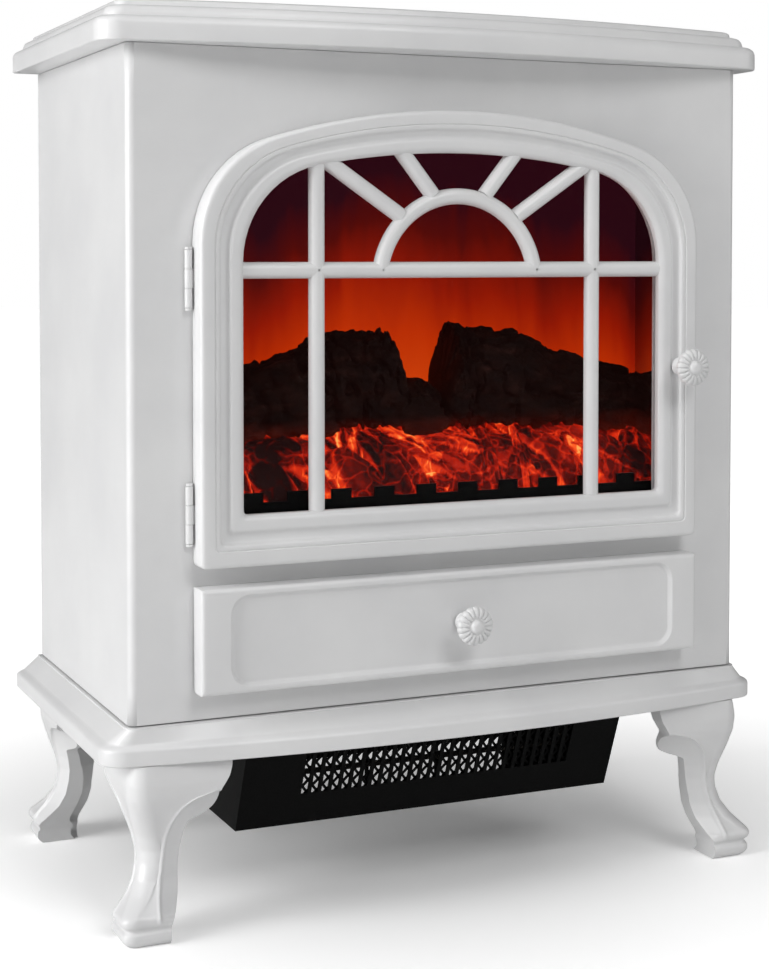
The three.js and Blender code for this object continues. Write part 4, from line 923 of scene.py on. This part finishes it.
def bark_log(name, path, radii, seed, slant=(0.0, 0.0), tall=1.3):
    """A charred log: rings about a bent centre line, whose radius carries long bark ridges,
    knots and chips. The two ends are broken off on a slant and close on a middle point."""
    steps, sides = 170, 150
    t = np.linspace(0, 1, steps)
    knots = np.linspace(0, 1, len(path))
    path = np.array(path, float)
    smooth = np.linspace(-1, 1, 9)[:, None] * 0.09
    centre = np.stack(
        [np.interp(np.clip(t[None] + smooth, 0, 1), knots, column).mean(0) for column in path.T], axis=-1
    )
    centre[:, 0] = np.interp(t, knots, path[:, 0])
    along = np.gradient(centre, axis=0)
    along /= np.linalg.norm(along, axis=1, keepdims=True)
    side = np.cross([0.0, 0.0, 1.0], along)
    side /= np.linalg.norm(side, axis=1, keepdims=True)
    up = np.cross(along, side)
    base = np.interp(t, np.linspace(0, 1, len(radii)), radii)[:, None]
    a = np.linspace(0, 2 * math.pi, sides + 1)[None]
    a = a + 0 * t[:, None]
    ca, sa = np.cos(a), np.sin(a)
    run = (t * np.linalg.norm(path[-1] - path[0]))[:, None] + 0 * a
    ridges = clouds(run / 26.0 + seed, ca * 2.6, sa * 2.6, 4)
    chips = clouds(run / 8.0 + seed, ca * 3.4 + 5, sa * 3.4, 3)
    blocks = np.abs(clouds(run / 15.0 + seed * 2, ca * 1.9 + 11, sa * 1.9, 3))
    radius = base * (1 + 0.30 * ridges + 0.09 * chips - 0.16 * np.clip(0.14 - blocks, 0, 1) / 0.14)
    end = np.clip(np.minimum(t, 1 - t)[:, None] / 0.035, 0, 1)
    radius = radius * (0.87 + 0.13 * np.sqrt(end))
    lean = np.interp(t, [0, 0.25, 0.75, 1], [slant[0], 0, 0, slant[1]])[:, None]
    rings = (
        centre[:, None]
        + side[:, None] * (radius * ca)[..., None]
        + up[:, None] * (radius * sa * tall)[..., None]
        + along[:, None] * (radius * sa * lean)[..., None]
    )
    hub = lambda ring: np.broadcast_to(ring[:-1].mean(0), ring.shape)[None]
    grid = np.concatenate([hub(rings[0]), rings, hub(rings[-1])])
    piece = skin(name, [grid], sharp=180)
    # Painted ember light: the lower a point of the log, the stronger the red glow painted on it, none above
    # height 336 and full from 30 mm lower down, standing in for the light of the embers under the log
    points = np.zeros(len(piece.data.vertices) * 3)
    piece.data.vertices.foreach_get("co", points)
    z = points.reshape(-1, 3)[:, 2] / MM
    write_glow_and_painted_light(piece, np.clip((336 - z) / 30.0, 0, 1))
    return piece


settle(
    bark_log(
        "fire_log_left",
        [(-190, 62, 316), (-127, 62, 332), (-77, 62, 345), (-48, 62, 354), (-15, 62, 349)],
        (25, 26, 27, 28, 27), 0.7, (0.0, -0.35),
    ),
    BARK, "charred_log", "stove", "log_left",
)
settle(
    bark_log(
        "fire_log_right",
        [(20, 62, 350), (40, 62, 355), (90, 62, 343), (143, 62, 329), (198, 62, 316)],
        (28, 29, 28, 26, 25), 4.2, (0.5, 0.0),
    ),
    BARK, "charred_log", "stove", "log_right",
)
settle(
    bark_log("fire_log_centre", [(-3, 38, 324), (-2, 60, 331), (-3, 88, 333)], (17, 19, 18), 8.8, tall=1.15),
    BARK, "charred_log", "stove", "log_centre",
)


# ---------------------------------------------------------------- heater guard
def guard():
    """Expanded metal behind the slots: diamonds in staggered rows, each drawn as an outer
    and an inner lozenge joined by four faces, then given its thickness."""
    lean, top_y = 0.404, 16.1
    left_x, low_z = -103.0, 69.0
    pitch_x, pitch_z = 7.5, 9.0
    strand_x, strand_z = 1.25, 1.45
    columns, rows = np.meshgrid(np.arange(29), np.arange(9))
    cx = left_x + columns * pitch_x + (rows % 2) * pitch_x / 2
    cz = low_z + rows * pitch_z / 2
    lozenge = np.array([(1, 0), (0, 1), (-1, 0), (0, -1)], float)
    outer = lozenge * (pitch_x / 2, pitch_z / 2)
    inner = lozenge * (pitch_x / 2 - strand_x, pitch_z / 2 - strand_z)
    flat = np.stack([outer, inner])[None, None] + np.stack([cx, cz], axis=-1)[..., None, None, :]
    x, z = flat[..., 0], flat[..., 1]
    y = top_y + lean * (PLINTH_Z - z)
    points = np.stack([x, y, z], axis=-1).reshape(-1, 3)
    start = (np.arange(cx.size) * 8)[:, None, None]
    k = np.arange(4)
    ring = np.stack([k, (k + 1) % 4, 4 + (k + 1) % 4, 4 + k], axis=-1)[None]
    piece = shell("outlet_guard", put(points), (start + ring).reshape(-1, 4), sharp=40)
    wall = piece.modifiers.new("wall", "SOLIDIFY")
    wall.thickness = 0.7 * MM
    return piece


settle(guard(), BLACK, "black_mesh", "stove", "outlet_mesh")


# ---------------------------------------------------------------- stage, light and camera
def cast_floor():
    """Pale floor that turns to plain white away from the stove."""
    rings, spokes, reach, under_feet = 40, 73, 14.0, -0.0002
    ring = np.linspace(0, 1, rings) ** 2 * reach
    a = np.linspace(0, 2 * math.pi, spokes)
    level = np.full((rings, spokes), under_feet)
    grid = np.stack([ring[:, None] * np.cos(a), ring[:, None] * np.sin(a), level], axis=-1)
    mesh = bpy.data.meshes.new("studio_floor")
    index = np.arange(rings * spokes).reshape(rings, spokes)
    quads = np.stack([index[:-1, :-1], index[1:, :-1], index[1:, 1:], index[:-1, 1:]], axis=-1)
    mesh.from_pydata(grid.reshape(-1, 3).tolist(), [], quads.reshape(-1, 4).tolist())
    floor = bpy.data.objects.new("studio_floor", mesh)
    bpy.context.scene.collection.objects.link(floor)
    pale = finish("studio_white", (0.9, 0.9, 0.9), 0.6)
    seat = node(pale, "ShaderNodeTexCoord").outputs["Object"]
    away = node(pale, "ShaderNodeVectorMath", {"operation": "LENGTH"}, i0=seat).outputs["Value"]
    glow = node(pale, "ShaderNodeMapRange", Value=away, i1=0.1, i2=0.9, i3=0.0, i4=1.0).outputs[0]
    light = ramp(pale, glow, (0.0, (0.10, 0.10, 0.10)), (0.45, (0.62, 0.62, 0.62)), (1.0, (1.0, 1.0, 1.0)))
    feed(pale, "Emission Color", light)
    seen = node(pale, "ShaderNodeLightPath").outputs["Is Camera Ray"]
    feed(pale, "Emission Strength", seen)
    mesh.materials.append(pale)
    floor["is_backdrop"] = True


cast_floor()


def softbox(name, where, aim, size, watts):
    """A square area light looking at a point."""
    lamp = bpy.data.lights.new(name, "AREA")
    lamp.size = size
    lamp.energy = watts
    holder = bpy.data.objects.new(name, lamp)
    holder.location = where
    holder.rotation_euler = (Vector(aim) - Vector(where)).to_track_quat("-Z", "Y").to_euler()
    bpy.context.scene.collection.objects.link(holder)


softbox("key_left", (-2.6, -0.3, 1.0), (0, 0, 0.35), 1.4, 53)
softbox("left_above", (-2.0, -0.8, 2.2), (0, 0, 0.35), 1.4, 13.5)
softbox("front_above", (0.4, -2.4, 2.4), (0, 0, 0.35), 1.4, 31)
softbox("overhead", (0.0, -0.3, 2.9), (0, 0, 0.35), 1.6, 9.5)
softbox("fill_right", (2.4, -2.0, 1.0), (0, 0, 0.35), 1.4, 13.5)

world = bpy.data.worlds.new("studio")
bpy.context.scene.world = world
world.use_nodes = True
backdrop = world.node_tree.nodes["Background"]
ray = world.node_tree.nodes.new("ShaderNodeLightPath")
level = world.node_tree.nodes.new("ShaderNodeMapRange")
level.inputs[3].default_value = 0.02
level.inputs[4].default_value = 1.0
world.node_tree.links.new(ray.outputs["Is Camera Ray"], level.inputs[0])
world.node_tree.links.new(level.outputs[0], backdrop.inputs["Strength"])
backdrop.inputs["Color"].default_value = (1, 1, 1, 1)

IMAGE_W, FOCAL = 769.0, 1860.4
YAW, PITCH = 0.415, 0.036
camera_data = bpy.data.cameras.new("studio_camera")
camera_data.sensor_fit = "HORIZONTAL"
camera_data.sensor_width = 36.0
camera_data.lens = 36.0 * FOCAL / IMAGE_W
camera_data.shift_x = -0.0023
camera_data.shift_y = -0.2127
camera_data.clip_end = 60
camera = bpy.data.objects.new("studio_camera", camera_data)
camera.location = put([-556.3, -1149.4, 443.3])
look = Vector(
    (math.sin(YAW) * math.cos(PITCH), math.cos(YAW) * math.cos(PITCH), -math.sin(PITCH))
)
camera.rotation_euler = look.to_track_quat("-Z", "Y").to_euler()
bpy.context.scene.collection.objects.link(camera)
bpy.context.scene.camera = camera
bpy.context.scene.view_settings.view_transform = "Standard"

new_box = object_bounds()
plain = lambda box: [[float(v) for v in corner] for corner in box]
{"cad": plain(cad_box), "visual": plain(new_box)}
